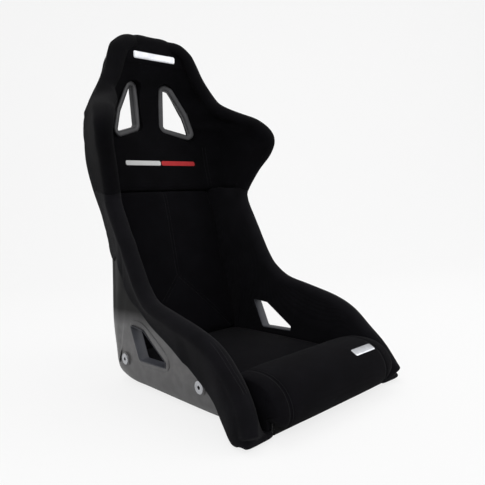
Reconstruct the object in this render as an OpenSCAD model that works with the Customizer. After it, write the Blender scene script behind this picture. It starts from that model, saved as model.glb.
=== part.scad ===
// Fixed-back racing bucket seat: one moulded shell with shoulder wings, padded covers rolled
// over its edge, three loose cushions and side mounts. Millimetres, front towards -Y, up +Z,
// standing on its flat base at z = 0.

/* [Shell] */
// Width across the two hip walls
hip_width = 406; // [396:1:414]
// Width across the padded shoulder wings
shoulder_width = 537; // [525:1:547]
// Width of the padded head section at its middle
head_width = 256; // [246:1:264]
// Height of the seat over the padded top
overall_height = 882; // [868:1:896]
// Length of the seat from the front lip of the shell to its back
shell_length = 624; // [612:1:636]
// Thickness of the moulded wall
wall = 4; // [3:0.5:5]

/* [Side mounts] */
// Distance between the front and rear mounting holes
mount_pitch = 290; // [280:1:296]
// Height of the mounting holes above the base
mount_height = 67; // [64:1:70]
// Middle of the mounting holes behind the origin
mount_middle = 8; // [5:0.5:11]
// Thread radius of the inserts
thread_radius = 4; // [3:0.5:5]
// Diameter of the insert flange
flange_diameter = 26; // [22:1:30]
// Length of the threaded insert with its flange
insert_length = 16; // [13:1:16]

/* [Openings] */
// Bottom of the shoulder openings above the base
harness_low = 636; // [628:1:642]
// Height of the shoulder openings
harness_height = 112; // [104:1:116]
// Width of the grey face of the shoulder bezels
bezel_face = 15; // [12:1:17]
// Bottom of the lap openings above the base
lap_low = 78; // [76:1:82]
// Height of the lap openings
lap_height = 72; // [66:1:76]
// Length of the slot for the crotch strap
crotch_length = 110; // [90:5:130]

/* [Padding] */
// Radius of the padded roll on the edge of the shell
roll = 20; // [18:0.5:21]
// Thickness of the cover where it ends on the outside of the shell
cover = 4; // [3:0.5:5]
// Thickness of the padding inside the hip walls
hip_padding = 14; // [12:0.5:16]
// Height of the seat cushion at its edges
seat_top = 69; // [65:1:71]
// Rise of the middle of the seat cushion
seat_crown = 7; // [4:1:9]
// Height of the front cushion
front_top = 110; // [104:1:113]
// Reach of the front cushion ahead of the shell
front_reach = 34; // [28:1:36]
// Height of the two blank silver patches
patch_height = 20; // [16:1:21]

/* [Hidden] */
$fn = 40;
gap = 0.3;
underlay = 2;
loose_gap = 1.5;
hip = hip_width / 2;
wing = shoulder_width / 2 - roll + 2.5;
head = head_width / 2 - roll;
height_scale = overall_height / 882;
length_scale = shell_length / 624;
origin_shift = -20;
crest = wall / 2;

// Side view of the shell: spine point and edge point of each station, front lip to crown.
side_view = [
  [-316, 9, -313, 22],
  [-285, 6, -285, 72],
  [-250, 4, -252, 108],
  [-212, 2, -211, 144],
  [-160, 0.5, -160, 166],
  [-80, 0, -83, 185],
  [0, 0, -4, 205],
  [75, 0, 44, 240],
  [140, 0, 68, 274],
  [190, 12, 84, 303],
  [214, 40, 94, 322],
  [223, 82, 101, 337],
  [232, 150, 113, 358],
  [247, 245, 128, 386],
  [257, 310, 138, 405],
  [268, 390, 149, 432],
  [280, 462, 148, 462],
  [290, 520, 119, 520],
  [297, 562, 88, 566],
  [301, 598, 80, 600],
  [303, 630, 101, 632],
  [303, 660, 146, 660],
  [303, 690, 192, 690],
  [302, 730, 223, 724],
  [299, 777, 234, 768],
  [298, 815, 241, 806],
  [291, 843, 245, 832],
  [279, 860, 251, 852],
  [265, 864.4, 263, 858.4]
];
// Half widths at the corner and at the edge, then the corner's breadth and depth.
breadth = [
  [hip + 4, hip + 17, 22, 9],
  [hip + 1, hip + 10, 30, 24],
  [hip, hip + 5, 40, 38],
  [hip, hip + 5, 46, 46],
  [hip, hip + 7, 46, 46],
  [hip, hip + 7, 46, 46],
  [hip, hip + 5, 46, 46],
  [hip, hip, 46, 46],
  [hip, hip - 2, 47, 46],
  [hip, hip - 2, 50, 48],
  [hip - 1, hip - 2, 54, 50],
  [hip - 1, hip - 2, 58, 54],
  [hip - 2, hip - 1, 58, 56],
  [hip - 15, hip - 1, 58, 56],
  [hip - 22, hip - 1, 58, 56],
  [hip - 17, hip, 58, 56],
  [hip - 3, hip + 3, 58, 56],
  [wing - 42, wing - 25, 60, 60],
  [wing - 41, wing - 4, 64, 62],
  [wing - 42, wing - 1, 78, 68],
  [wing - 44, wing - 20, 130, 82],
  [wing - 48, wing - 48, 180, 104],
  [head + 72, head + 60, 165, 90],
  [head + 54, head + 51, 132, 60],
  [head + 27, head + 24, 96, 48],
  [head + 10, head + 8, 74, 44],
  [head - 4, head - 6, 62, 24],
  [head - 27, head - 30, 50, 7],
  [head - 66, head - 54, 24, 2]
];
// End of the cover outside, its thickness there, depth of the padding in the middle, thickness
// of the padding on the side wall and breadth of the padded corner.
padding = [
  [1, 32, 60, hip_padding, 40],
  [1, 30, 60, hip_padding, 40],
  [1.75, 22, 60, hip_padding, 40],
  [2.02, cover + 8, 60, hip_padding, 40],
  [2.3, cover + 5, 60, hip_padding, 40],
  [2.6, cover + 4, 60, hip_padding, 40],
  [2.75, cover + 3, 60, hip_padding, 40],
  [2.76, cover + 3, 60, hip_padding, 40],
  [2.72, cover + 3, 66, hip_padding + 2, 40],
  [2.7, cover + 2, 70, hip_padding + 9, 40],
  [2.68, cover + 2, 70, hip_padding + 14, 40],
  [2.66, cover + 1, 68, hip_padding + 14, 40],
  [2.6, cover + 1, 58, hip_padding + 12, 40],
  [2.42, cover, 50, hip_padding + 2, 40],
  [1.7, cover, 48, hip_padding - 4, 40],
  [0.95, cover, 45, hip_padding + 4, 40],
  [0.85, cover, 44, hip_padding + 21, 45],
  [0.85, cover, 42, hip_padding, 45],
  [0.9, cover, 40, hip_padding, 50],
  [0.98, cover, 36, hip_padding, 60],
  [1.25, cover, 25, hip_padding, 100],
  [1.5, cover, 17, hip_padding, 150],
  [1.56, cover, 16, hip_padding, 124],
  [1.54, cover, 18, hip_padding, 96],
  [1.5, cover, 34, hip_padding, 60],
  [1.5, cover, 51, hip_padding, 36],
  [1.5, cover, 47, hip_padding, 36],
  [1.5, cover, 34, hip_padding, 24],
  [1.5, cover, 24, hip_padding, 10]
];
last = len(side_view) - 1;
waist = 16;
crown_end = last - 1.5;

// Rows and columns at which the curved skins are sampled.
base_rows = [0, 0.5, 1, 1.5, 2, 3, 4, 5, 6, 7, 8, 8.5, 9, 9.5, 10, 11, 12, 13, 13.5, 14, 14.5, 15];
top_rows = [17, 18, 18.5, 19, 19.5, 20, 20.5, 21, 22, 23, 24, 25, 26, 26.7, 27.3, last];
half_columns = [0, 0.5, 1, 1.25, 1.5, 1.75, 2, 3];
columns = concat([for (k = [7:-1:1]) -half_columns[k]], half_columns);

// Smooth curve through four neighbouring values.
function blend4(a, b, c, d, t) =
  0.5 * (2 * b + (c - a) * t + (2 * a - 5 * b + 4 * c - d) * t * t
  + (3 * b - a - 3 * c + d) * t * t * t);
function row_of(list, s) =
  let (i = min(max(floor(s), 0), last - 1))
  blend4(list[max(i - 1, 0)], list[i], list[i + 1], list[min(i + 2, last)], s - i);
function side_at(s) =
  let (q = row_of(side_view, s))
  [q[0] * length_scale - origin_shift, q[1] * height_scale,
   q[2] * length_scale - origin_shift, q[3] * height_scale];
function unit(v) = v / norm(v);
function inward(s) =
  let (a = side_at(s - 0.03), b = side_at(s + 0.03), t = unit([b[0] - a[0], b[1] - a[1]]))
  [-t[1], t[0]];

// A point of section s at half width x and height v above the spine line.
function place(s, x, v) =
  let (q = side_at(s), w = row_of(breadth, s), n = inward(s),
       knee = [q[0] + n[0] * w[3], q[1] + n[1] * w[3]],
       reach = [q[2], q[3]] - knee,
       yz = v <= w[3] ? [q[0], q[1]] + n * v : knee + unit(reach) * (v - w[3]))
  [x, yz[0], yz[1]];
function side_length(s) =
  let (q = side_at(s), w = row_of(breadth, s), n = inward(s))
  norm([q[2] - q[0] - n[0] * w[3], q[3] - q[1] - n[1] * w[3]]);

// Outer face of the shell: u runs 0 to 1 on the flat, 1 to 2 round the corner, 2 to 3 up the wall.
function shell_face(s, u) =
  let (w = row_of(breadth, s), flat = w[0] - w[2])
  u <= 1 ? place(s, flat * u, 0)
  : u <= 2 ? place(s, flat + w[2] * sin(90 * (u - 1)), w[3] * (1 - cos(90 * (u - 1))))
  : place(s, w[0] + (w[1] - w[0]) * (u - 2), w[3] + side_length(s) * (u - 2));
function plain_facing(s, u) =
  let (e = 0.03, across = shell_face(s, u + e) - shell_face(s, max(u - e, 0)),
       along = shell_face(s + e, u) - shell_face(s - e, u))
  unit(cross(across, along));
// Inward normal; over the crown, where the two side edges run into one, it turns from that of
// the section at the crown's foot to that of the middle line.
crown_foot = 25;
function facing(s, u) =
  s <= crown_foot
  ? plain_facing(s, u)
  : unit(plain_facing(s, 0)
         + (plain_facing(crown_foot, u) - plain_facing(crown_foot, 0)) * (last - s) / (last - crown_foot));
function mirror_for(u, p) = [sign(u) * p[0], p[1], p[2]];
function skin(s, u, depth) =
  mirror_for(u, shell_face(s, abs(u)) + facing(s, abs(u)) * depth);

// Frame of the edge roll on the side edge: centre, normal and outward direction.
function edge_out(s) =
  let (e = 0.03, t = shell_face(s + e, 3) - shell_face(s - e, 3))
  unit(cross(t, facing(s, 3)));
function top_out(u) = unit(cross(facing(last, u), [1, 0, 0]));
function corner_out() = unit(edge_out(last) + top_out(3));
function round_edge(s, u, out, angle, radius) =
  shell_face(s, u) + facing(s, u) * (crest + radius * cos(angle)) + out * radius * sin(angle);

// On the head the roll runs into the padded face further round.
function roll_from(s) = 50 * max(0, s - 24) / (last - 24);
// Points behind the roll that pass round the bare edge of the shell.
function behind_edge(s, u, out, k) =
  let (n = facing(s, u), c = shell_face(s, u) + n * crest, h = crest + gap)
  k == 0 ? c + n * h
  : k == 1 ? c + n * h + out * 1.2
  : k == 2 ? c + out * 1.8
  : k == 3 ? c - n * h + out * 1.2
  : c - n * (h + 0.5);

// Outside part of the cover: fractions of the way from the roll to its end, and thicknesses.
fractions = [0.2, 0.45, 0.64, 0.82, 1];
thickness_left = [0.6, 0.3, 0.12, 0.03, 0];
function cover_point(s, u, end_s, end_u, k, lift) =
  let (f = fractions[k], a = s + (end_s - s) * f, b = u + (end_u - u) * f)
  shell_face(a, b) - facing(a, b) * lift;
function cover_lift(s, k) =
  let (end = row_of(padding, s)[1])
  end + (roll - crest - end) * thickness_left[k];

// Towards the front lip, where the wall is low, the roll stops on the outside.
function roll_to(s) = 180 - 60 * max(0, 1 - s / 1.5);

// The chain of points of one side from the start of the roll to the end of the cover.
function outer_chain(s, u, out, end_s, end_u) = concat(
  [for (k = [1:4]) round_edge(s, u, out, roll_from(s) + (roll_to(s) - roll_from(s)) * k / 4, roll)],
  [for (k = [0:4]) cover_point(s, u, end_s, end_u, k, cover_lift(s, k) + gap)]);
function inner_chain(s, u, out, end_s, end_u) = concat(
  [for (k = [1:4]) behind_edge(s, u, out, k)],
  [for (k = [0:4])
    cover_point(s, u, end_s, end_u, k, u + (end_u - u) * fractions[k] < 2 ? 1.9 : 0.9)]);

// Closed solid between two grids of points with the same rows and columns.
module grid_solid(front, back) {
  rows = len(front);
  cols = len(front[0]);
  count = rows * cols;
  points = concat([for (r = front) for (p = r) p], [for (r = back) for (p = r) p]);
  faces = concat(
    [for (i = [0:rows - 2]) for (j = [0:cols - 2])
      let (a = i * cols + j) each [[a, a + 1, a + cols + 1], [a, a + cols + 1, a + cols]]],
    [for (i = [0:rows - 2]) for (j = [0:cols - 2])
      let (a = count + i * cols + j) each [[a, a + cols + 1, a + 1], [a, a + cols, a + cols + 1]]],
    [for (j = [0:cols - 2])
      let (a = j, b = count + j) each [[a, b, b + 1], [a, b + 1, a + 1]]],
    [for (j = [0:cols - 2])
      let (a = (rows - 1) * cols + j, b = a + count) each [[a, b + 1, b], [a, a + 1, b + 1]]],
    [for (i = [0:rows - 2])
      let (a = i * cols, b = a + count) each [[a, b + cols, b], [a, a + cols, b + cols]]],
    [for (i = [0:rows - 2])
      let (a = i * cols + cols - 1, b = a + count) each [[a, b, b + cols], [a, b + cols, a + cols]]]);
  polyhedron(points, [for (f = faces) [f[0], f[2], f[1]]], convexity = 8);
}

// Outlines of the openings, half width or length against height.
harness_outline = [
  [47, harness_height - 1], [52, harness_height + 1], [60, harness_height - 3],
  [98, harness_height * 0.36], [112, -8], [107, -11], [47, 7], [43, 13]
];
lap_outline = [
  [96, lap_height + 1], [44, lap_height - 3], [-40, 14], [-37, 3], [62, 0], [66, 3]
];
// The shoulder openings lie in planes turned towards the middle of the seat.
harness_turn = 20;
harness_middle = 76;
harness_face = 274 * length_scale - origin_shift;
module harness_plane() {
  translate([harness_middle, harness_face, harness_low])
    rotate([0, 0, -harness_turn])
      rotate([90, 0, 0])
        children();
}
module harness_shape(grow) {
  offset(delta = grow, chamfer = true)
    scale([1 / cos(harness_turn), 1])
      translate([-harness_middle, 0])
        polygon(harness_outline);
}
// A block along the opening, from depth low to depth high in front of the padded face.
module harness_block(grow, low, high) {
  harness_plane()
    translate([0, 0, low])
      linear_extrude(high - low)
        harness_shape(grow);
}
module lap_block(grow, inside, outside) {
  translate([inside, -origin_shift, lap_low])
    rotate([90, 0, 90])
      linear_extrude(outside - inside)
        offset(delta = grow, chamfer = true)
          polygon(lap_outline);
}
module both_sides() {
  children();
  mirror([1, 0, 0]) children();
}

mount_ys = [mount_middle - mount_pitch / 2, mount_middle + mount_pitch / 2];
land_face = hip + 3.4;
plate_outer = hip - wall - 2;
plate_thick = 3;
barrel_radius = thread_radius + 2.5;
sleeve = 2;

// MODULES OF THE NODES

// The bucket is one moulding. It is given as four lengths that meet at three stations, so that
// collision can follow the hollow of each; a hair's breadth is left between them.
shell_rows = concat(base_rows, [waist], top_rows);
thigh_end = 5;
hip_end = 7.8;
loin_end = 10;
joint_share = 0.003;
function rows_between(low, high) =
  concat([low], [for (s = shell_rows) if (s > low + 0.01 && s < high - 0.01) s], [high]);
front_wall_top = 74;
front_wall_width = 2 * (hip - wall - hip_padding - 3);
front_face_y = -316 * length_scale - origin_shift;
module shell_length(low, high) {
  rows = rows_between(low, high);
  grid_solid([for (s = rows) [for (u = columns) skin(s, u, wall)]],
             [for (s = rows) [for (u = columns) skin(s, u, 0)]]);
}
// The thickened lands of the side mounts at one place along the base, and their holes.
module mount_lands(y) {
  both_sides()
    translate([plate_outer, y, mount_height])
      rotate([0, 90, 0])
        cylinder(h = land_face - plate_outer, r = flange_diameter / 2 + 3);
}
module mount_holes(y) {
  both_sides()
    translate([plate_outer - 5, y, mount_height])
      rotate([0, 90, 0])
        cylinder(h = 30, r = barrel_radius + 0.1);
}
module shell_thighs() {
  color([0.36, 0.36, 0.37])
    difference() {
      union() {
        shell_length(0, thigh_end - joint_share);
        translate([-front_wall_width / 2, front_face_y, 10])
          cube([front_wall_width, wall, front_wall_top - 10]);
        mount_lands(mount_ys[0]);
      }
      mount_holes(mount_ys[0]);
      translate([0, crotch_y, -5]) crotch_shape(gap, 20);
    }
}
module shell_hips() {
  color([0.36, 0.36, 0.37])
    difference() {
      shell_length(thigh_end, hip_end - joint_share);
      both_sides() lap_block(sleeve + gap, hip - 30, hip + 30);
    }
}
module shell_loins() {
  color([0.36, 0.36, 0.37])
    difference() {
      union() {
        shell_length(hip_end, loin_end - joint_share);
        mount_lands(mount_ys[1]);
      }
      mount_holes(mount_ys[1]);
      both_sides() lap_block(sleeve + gap, hip - 30, hip + 30);
    }
}
module shell_back() {
  color([0.36, 0.36, 0.37])
    difference() {
      shell_length(loin_end, last);
      both_sides() harness_block(sleeve + gap, -70, 60);
    }
}

module mount_plate() {
  color([0.55, 0.56, 0.58])
    difference() {
      translate([plate_outer - plate_thick, mount_ys[0] - 22, mount_height - 14])
        cube([plate_thick, mount_pitch + 44, 28]);
      for (y = mount_ys)
        translate([plate_outer - 10, y, mount_height])
          rotate([0, 90, 0])
            cylinder(h = 20, r = barrel_radius + 0.1);
      lap_block(sleeve + loose_gap, hip - 40, hip);
    }
}
module mount_plate_left() mirror([1, 0, 0]) mount_plate();
module mount_plate_right() mount_plate();

flange_thick = 2;
module mount_inserts() {
  color([0.8, 0.8, 0.82])
    both_sides()
      for (y = mount_ys)
        translate([land_face + flange_thick, y, mount_height])
          rotate([0, -90, 0])
            difference() {
              union() {
                cylinder(h = flange_thick, r = flange_diameter / 2);
                cylinder(h = insert_length, r = barrel_radius);
              }
              translate([0, 0, -1]) cylinder(h = insert_length + 2, r = thread_radius);
            }
}

bezel_thick = 4;
bezel_seat = -4;
bezel_depth = 14;
module harness_trim() {
  color([0.3, 0.3, 0.32])
    difference() {
      union() {
        harness_block(bezel_face, bezel_seat, bezel_seat + bezel_thick);
        harness_block(sleeve, bezel_seat - bezel_depth, bezel_seat + 1);
      }
      harness_block(0, bezel_seat - bezel_depth - 1, bezel_seat + bezel_thick + 1);
    }
}
module harness_trim_left() mirror([1, 0, 0]) harness_trim();
module harness_trim_right() harness_trim();

lap_inner = hip - wall - hip_padding - 1;
module lap_trim() {
  color([0.26, 0.27, 0.3])
    difference() {
      lap_block(sleeve, lap_inner - 1, hip + 5);
      lap_block(0, lap_inner - 2, hip + 6);
    }
}
module lap_trim_left() mirror([1, 0, 0]) lap_trim();
module lap_trim_right() lap_trim();

crotch_y = -220 * length_scale - origin_shift;
crotch_width = 24;
module crotch_shape(grow, tall) {
  linear_extrude(tall)
    offset(r = 10 + grow)
      square([crotch_length - 20, crotch_width - 20], center = true);
}
module crotch_slot_trim() {
  color([0.1, 0.1, 0.1])
    translate([0, crotch_y, 0])
      difference() {
        union() {
          translate([0, 0, wall + 3.2]) crotch_shape(3, 1);
          translate([0, 0, 2.6]) crotch_shape(0, wall + 1);
        }
        translate([0, 0, -1]) crotch_shape(-2, 20);
      }
}

// The upper pad: face curve of one half at section s, then the whole grid with its edge roll.
function upper_start(s, out) = round_edge(s, 3, out, roll_from(s), roll);
function upper_face(s, u, out) =
  let (w = row_of(breadth, s), p = row_of(padding, s), top = w[3] + side_length(s),
       wall_x = min(w[0], w[1]) - roll - crest, flat = wall_x - p[4],
       rise = min(p[4], 0.8 * max(0, top - p[2])), a = 90 * (u - 1),
       x = u <= 1 ? flat * u : u <= 2 ? flat + p[4] * sin(a)
         : wall_x + (w[1] - roll - crest - wall_x) * (u - 2),
       v = u <= 1 ? p[2] : u <= 2 ? p[2] + rise * (1 - cos(a))
         : p[2] + rise + (top - p[2] - rise) * (u - 2),
       miss = upper_start(s, out) - place(s, w[1] - roll - crest, top))
  place(s, x, v) + miss * pow(u / 3, 3);
// Over the crown the face runs straight from the last plain section to the top row.
face_end = 26;
function top_point(u) =
  round_edge(last, u, u == 3 ? corner_out() : top_out(u), roll_from(last), roll);
function crown_face(s, u, out) =
  let (f = (s - face_end) / (last - face_end), foot = edge_out(face_end),
       straight = upper_face(face_end, u, foot) * (1 - f) + top_point(u) * f,
       corner = upper_face(face_end, 3, foot) * (1 - f) + top_point(3) * f)
  straight + (upper_start(s, out) - corner) * pow(u / 3, 3);
function end_row(s) = s - (s - waist) * 1.5 / (last - waist);
function side_out(s) = s == last ? corner_out() : edge_out(s);
function half_front(s) =
  let (out = side_out(s), end = row_of(padding, s)[0])
  concat([for (u = half_columns) s <= face_end ? upper_face(s, u, out) : crown_face(s, u, out)],
         outer_chain(s, 3, out, end_row(s), end));
function half_back(s) =
  let (out = side_out(s), end = row_of(padding, s)[0])
  concat([for (u = half_columns) shell_face(s, u) + facing(s, u) * (wall + gap)],
         inner_chain(s, 3, out, end_row(s), end));
function flip(p) = [-p[0], p[1], p[2]];
function whole(half) = concat([for (k = [len(half) - 1:-1:1]) flip(half[k])], half);
// The top row of the face is the start of the roll over the crown.
top_front = [for (u = half_columns) top_point(u)];
function crown_chain(u) =
  outer_chain(last, u, u == 3 ? corner_out() : top_out(u), crown_end,
              u * row_of(padding, last)[0] / 3);
function crown_inside(u) =
  inner_chain(last, u, u == 3 ? corner_out() : top_out(u), crown_end,
              u * row_of(padding, last)[0] / 3);
upper_rows = concat([waist + 0.012], top_rows);

module upper_pad_solid() {
  front = [for (s = upper_rows)
    let (h = half_front(s))
    s == last ? whole(concat(top_front, [for (k = [8:16]) h[k]])) : whole(h)];
  back = [for (s = upper_rows) whole(half_back(s))];
  rows = len(front);
  cols = len(front[0]);
  count = rows * cols;
  chain = 9;
  width = 13;
  base = 2 * count;
  // Crown band: one chain for each column between the two corners.
  crown_us = [for (k = [6:-1:1]) -half_columns[k]];
  all_us = concat(crown_us, [for (k = [0:6]) half_columns[k]]);
  band_front = [for (u = all_us) [for (p = crown_chain(abs(u))) mirror_for(u, p)]];
  band_back = [for (u = all_us) [for (p = crown_inside(abs(u))) mirror_for(u, p)]];
  points = concat([for (r = front) for (p = r) p], [for (r = back) for (p = r) p],
                  [for (c = band_front) for (p = c) p], [for (c = band_back) for (p = c) p]);
  top = (rows - 1) * cols;
  // Index of band point k (0 is the grid's top row) at band column j (0 and width + 1 are corners).
  function front_at(j, k) =
    k == 0 ? top + chain + j
    : j == 0 ? top + chain - k
    : j == width + 1 ? top + chain + width + 1 + k
    : base + (j - 1) * chain + k - 1;
  function back_at(j, k) =
    k == 0 ? count + top + chain + j
    : j == 0 ? count + top + chain - k
    : j == width + 1 ? count + top + chain + width + 1 + k
    : base + width * chain + (j - 1) * chain + k - 1;
  faces = concat(
    [for (i = [0:rows - 2]) for (j = [0:cols - 2])
      let (a = i * cols + j) each [[a, a + 1, a + cols + 1], [a, a + cols + 1, a + cols]]],
    [for (i = [0:rows - 2]) for (j = [0:cols - 2])
      let (a = count + i * cols + j) each [[a, a + cols + 1, a + 1], [a, a + cols, a + cols + 1]]],
    [for (j = [0:cols - 2])
      let (a = j, b = count + j) each [[a, b, b + 1], [a, b + 1, a + 1]]],
    [for (i = [0:rows - 2])
      let (a = i * cols, b = a + count) each [[a, b + cols, b], [a, a + cols, b + cols]]],
    [for (i = [0:rows - 2])
      let (a = i * cols + cols - 1, b = a + count) each [[a, b, b + cols], [a, b + cols, a + cols]]],
    [for (j = [0:width]) for (k = [0:chain - 1])
      each [[front_at(j, k), front_at(j + 1, k), front_at(j + 1, k + 1)],
            [front_at(j, k), front_at(j + 1, k + 1), front_at(j, k + 1)]]],
    [for (j = [0:width]) for (k = [0:chain - 1])
      each [[back_at(j, k), back_at(j + 1, k + 1), back_at(j + 1, k)],
            [back_at(j, k), back_at(j, k + 1), back_at(j + 1, k + 1)]]],
    [for (j = [0:width])
      each [[front_at(j, chain), back_at(j + 1, chain), back_at(j, chain)],
            [front_at(j, chain), front_at(j + 1, chain), back_at(j + 1, chain)]]]);
  polyhedron(points, [for (f = faces) [f[0], f[2], f[1]]], convexity = 8);
}

module upper_pad() {
  color([0.06, 0.06, 0.06])
    difference() {
      upper_pad_solid();
      both_sides() {
        harness_block(sleeve + gap, -90, 60);
        harness_block(bezel_face + gap, bezel_seat - gap, 60);
      }
    }
}

// Side bolsters: padding inside the wall, roll on the edge, cover outside; one closed section each.
bolster_steps = [-1, -0.4, 0.4, 1];
function bolster_edge(s) = row_of(breadth, s)[0] - wall - row_of(padding, s)[3];
function bolster_low(s) = let (w = row_of(breadth, s)) wall + loose_gap + corner_rise(w, bolster_edge(s));
function bolster_face(s, t) =
  let (w = row_of(breadth, s), top = w[3] + side_length(s), edge = bolster_edge(s),
       low = min(bolster_low(s), w[3] - 2), k = max(t, 0),
       x = edge + (w[1] - roll - crest - edge) * k - 3 * sin(180 * k),
       miss = upper_start(s, edge_out(s)) - place(s, w[1] - roll - crest, top))
  place(s, x, t < 0 ? low + (w[3] - low) * (1 + t) : w[3] + side_length(s) * t) + miss * k * k;
function bolster_column(s, k) =
  let (w = row_of(breadth, s), over = (bolster_edge(s) - w[0] + w[2]) / w[2],
       low = 1 + asin(min(max(over, 0.05), 0.9)) / 90)
  k == 0 ? low : k == 1 ? (low + 2) / 2 : k == 2 ? 2.3 : 3;
// Free end of the skirt ahead of the hip: outer half width, place, height and inner half width.
skirt = [
  [hip + 36, -318, 10, hip + 8],
  [hip + 38, -288, 7, hip + 5],
  [hip + 28, -252, 28, hip + 3],
  [hip + 18, -214, 58, hip + 3],
  [hip + cover + 6, -160, 84, hip + 3],
  [hip + cover + 4, -80, 129, hip + 3]
];
function skirt_point(s, from, side, k) =
  let (e = blend4(skirt[max(floor(s) - 1, 0)], skirt[floor(s)], skirt[floor(s) + 1],
                  skirt[min(floor(s) + 2, 5)], s - floor(s)),
       f = fractions[k])
  [e[side] + (from[0] - e[side]) * thickness_left[k],
   from[1] + (e[1] * length_scale - origin_shift - from[1]) * f,
   from[2] + (e[2] * height_scale - from[2]) * f];
function bolster_front(s) =
  let (out = edge_out(s), end = row_of(padding, s)[0], chain = outer_chain(s, 3, out, s, end))
  concat([for (t = bolster_steps) bolster_face(s, t)],
         s >= 4.5 ? chain
         : concat([for (k = [0:3]) chain[k]], [for (k = [0:4]) skirt_point(s, chain[3], 0, k)]));
function bolster_back(s) =
  let (out = edge_out(s), end = row_of(padding, s)[0], chain = inner_chain(s, 3, out, s, end))
  concat([for (k = [0:3])
            let (u = bolster_column(s, k)) shell_face(s, u) + facing(s, u) * (wall + gap)],
         s >= 4.5 ? chain
         : concat([for (k = [0:3]) chain[k]], [for (k = [0:4]) skirt_point(s, chain[3], 3, k)]));
bolster_rows = concat(base_rows, [waist - 0.012]);
// The toe of the skirt: past the front lip the two faces of the first section close on each
// other, given as the share of the way to the other face and the distance past the lip.
toe_steps = [[0.4, 3.5], [0.18, 2.5]];
toe_way = unit(shell_face(0, 3) - shell_face(0.06, 3));
function toe(from, to, step) =
  [for (k = [0:len(from) - 1]) from[k] + (to[k] - from[k]) * step[0] + toe_way * step[1]];
module side_bolster() {
  color([0.09, 0.09, 0.1])
    difference() {
      grid_solid(
        concat([for (step = toe_steps) toe(bolster_front(0), bolster_back(0), step)],
               [for (s = bolster_rows) bolster_front(s)]),
        concat([for (step = toe_steps) toe(bolster_back(0), bolster_front(0), step)],
               [for (s = bolster_rows) bolster_back(s)]));
      translate([plate_outer - plate_thick - 8, mount_ys[0] - 24, mount_height - 16])
        cube([8 + plate_thick + 6, mount_pitch + 48, 32]);
      lap_block(sleeve + gap, hip - 60, hip + 60);
    }
}
module side_bolster_left() mirror([1, 0, 0]) side_bolster();
module side_bolster_right() side_bolster();

// Loose cushions.
cushion_steps = [-1, -0.95, -0.85, -0.6, -0.3, 0, 0.3, 0.6, 0.85, 0.95, 1];
edge_round = 10;
function shoulder(k, size) = let (d = abs(k)) size * (1 - sqrt(max(0, 1 - pow(d, 6))));
function corner_rise(w, x) =
  let (r = w[2] - wall - loose_gap, over = abs(x) - (w[0] - w[2]))
  over <= 0 ? 0 : r - r * sqrt(max(0, 1 - pow(min(over / r, 1), 2)));

back_rows = [10.74, 10.84, 11.3, 11.9, 12.5, 13.2, 13.9, 14.6, 15.3, 15.8, 15.93];
function back_half(s) = let (w = row_of(breadth, s), p = row_of(padding, s)) w[0] - wall - p[3] - loose_gap;
function back_point(s, x, v) =
  let (q = side_at(s), n = inward(s), k = min(1, (s - back_rows[0]) / 2), d = unit([n[0], n[1] * k]))
  [x, q[0] + d[0] * v, q[1] + d[1] * v];
function back_depth(s, k) =
  let (p = row_of(padding, s), c = (s - back_rows[0]) / (back_rows[10] - back_rows[0]),
       ends = shoulder(2 * c - 1, edge_round))
  p[2] + 5 * cos(80 * k) - 3 - shoulder(k, edge_round) - ends
  - 3 * exp(-pow(k / 0.04, 2)) * (s > 13.3 ? 1 : 0);
module lower_back_cushion() {
  color([0.07, 0.07, 0.07])
    grid_solid(
      [for (s = back_rows) [for (k = cushion_steps)
        back_point(s, k * back_half(s), back_depth(s, k))]],
      [for (s = back_rows) [for (k = cushion_steps)
        let (x = k * back_half(s), w = row_of(breadth, s))
        back_point(s, x, wall + underlay + gap + corner_rise(w, x))]]);
}

seat_front = -218 * length_scale - origin_shift;
seat_rear = 191 * length_scale - origin_shift;
seat_lengths = [0, 0.025, 0.08, 0.2, 0.35, 0.5, 0.65, 0.8, 0.92, 0.975, 1];
seat_half = hip - wall - hip_padding - loose_gap;
function seat_y(f) = seat_front + (seat_rear - seat_front) * f;
function seat_up(f, k) =
  seat_top + seat_crown * cos(80 * k) * sin(180 * min(f + 0.12, 1)) - shoulder(k, edge_round)
  - shoulder(2 * f - 1, edge_round);
function seat_down(f, x) =
  let (y = seat_y(f) + origin_shift, rear = max(0, y / length_scale - 140), w = [hip, 0, 42, 42],
       front = max(0, (-150 - y) * 0.05))
  wall + underlay + gap + max(corner_rise(w, x), 54 - sqrt(54 * 54 - rear * rear)) + front;
module seat_cushion() {
  color([0.08, 0.08, 0.08])
    grid_solid(
      [for (f = seat_lengths) [for (k = cushion_steps) [k * seat_half, seat_y(f), seat_up(f, k)]]],
      [for (f = seat_lengths) [for (k = cushion_steps)
        [k * seat_half, seat_y(f), seat_down(f, k * seat_half)]]]);
}

// Front cushion: a saddle over the front wall. Outer outline, then the notch that sits on the wall.
notch_front = front_face_y - wall - 1;
front_nose = front_face_y - front_reach;
front_rear = seat_front - loose_gap - 1;
front_outer = [
  [front_rear, 26], [front_rear, 70], [front_rear - 4, front_top - 14],
  [front_rear - 14, front_top - 4], [front_rear - 42, front_top + 1],
  [front_rear - 74, front_top - 1], [front_rear - 100, front_top - 11],
  [front_nose + 12, front_top - 26], [front_nose + 2, front_top - 46],
  [front_nose, front_top - 66], [front_nose + 5, 26], [front_nose + 14, 14]
];
front_inner = [
  [front_rear - 8, 11], [front_rear - 40, 12.5], [front_rear - 70, 15],
  [front_face_y + wall + 8, 17], [front_face_y + wall + gap, 19],
  [front_face_y + wall + gap, 50], [front_face_y + wall + gap, front_wall_top + gap],
  [front_face_y + 2, front_wall_top + gap], [notch_front, front_wall_top + gap],
  [notch_front, 60], [notch_front, 40], [notch_front, 15]
];
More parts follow.
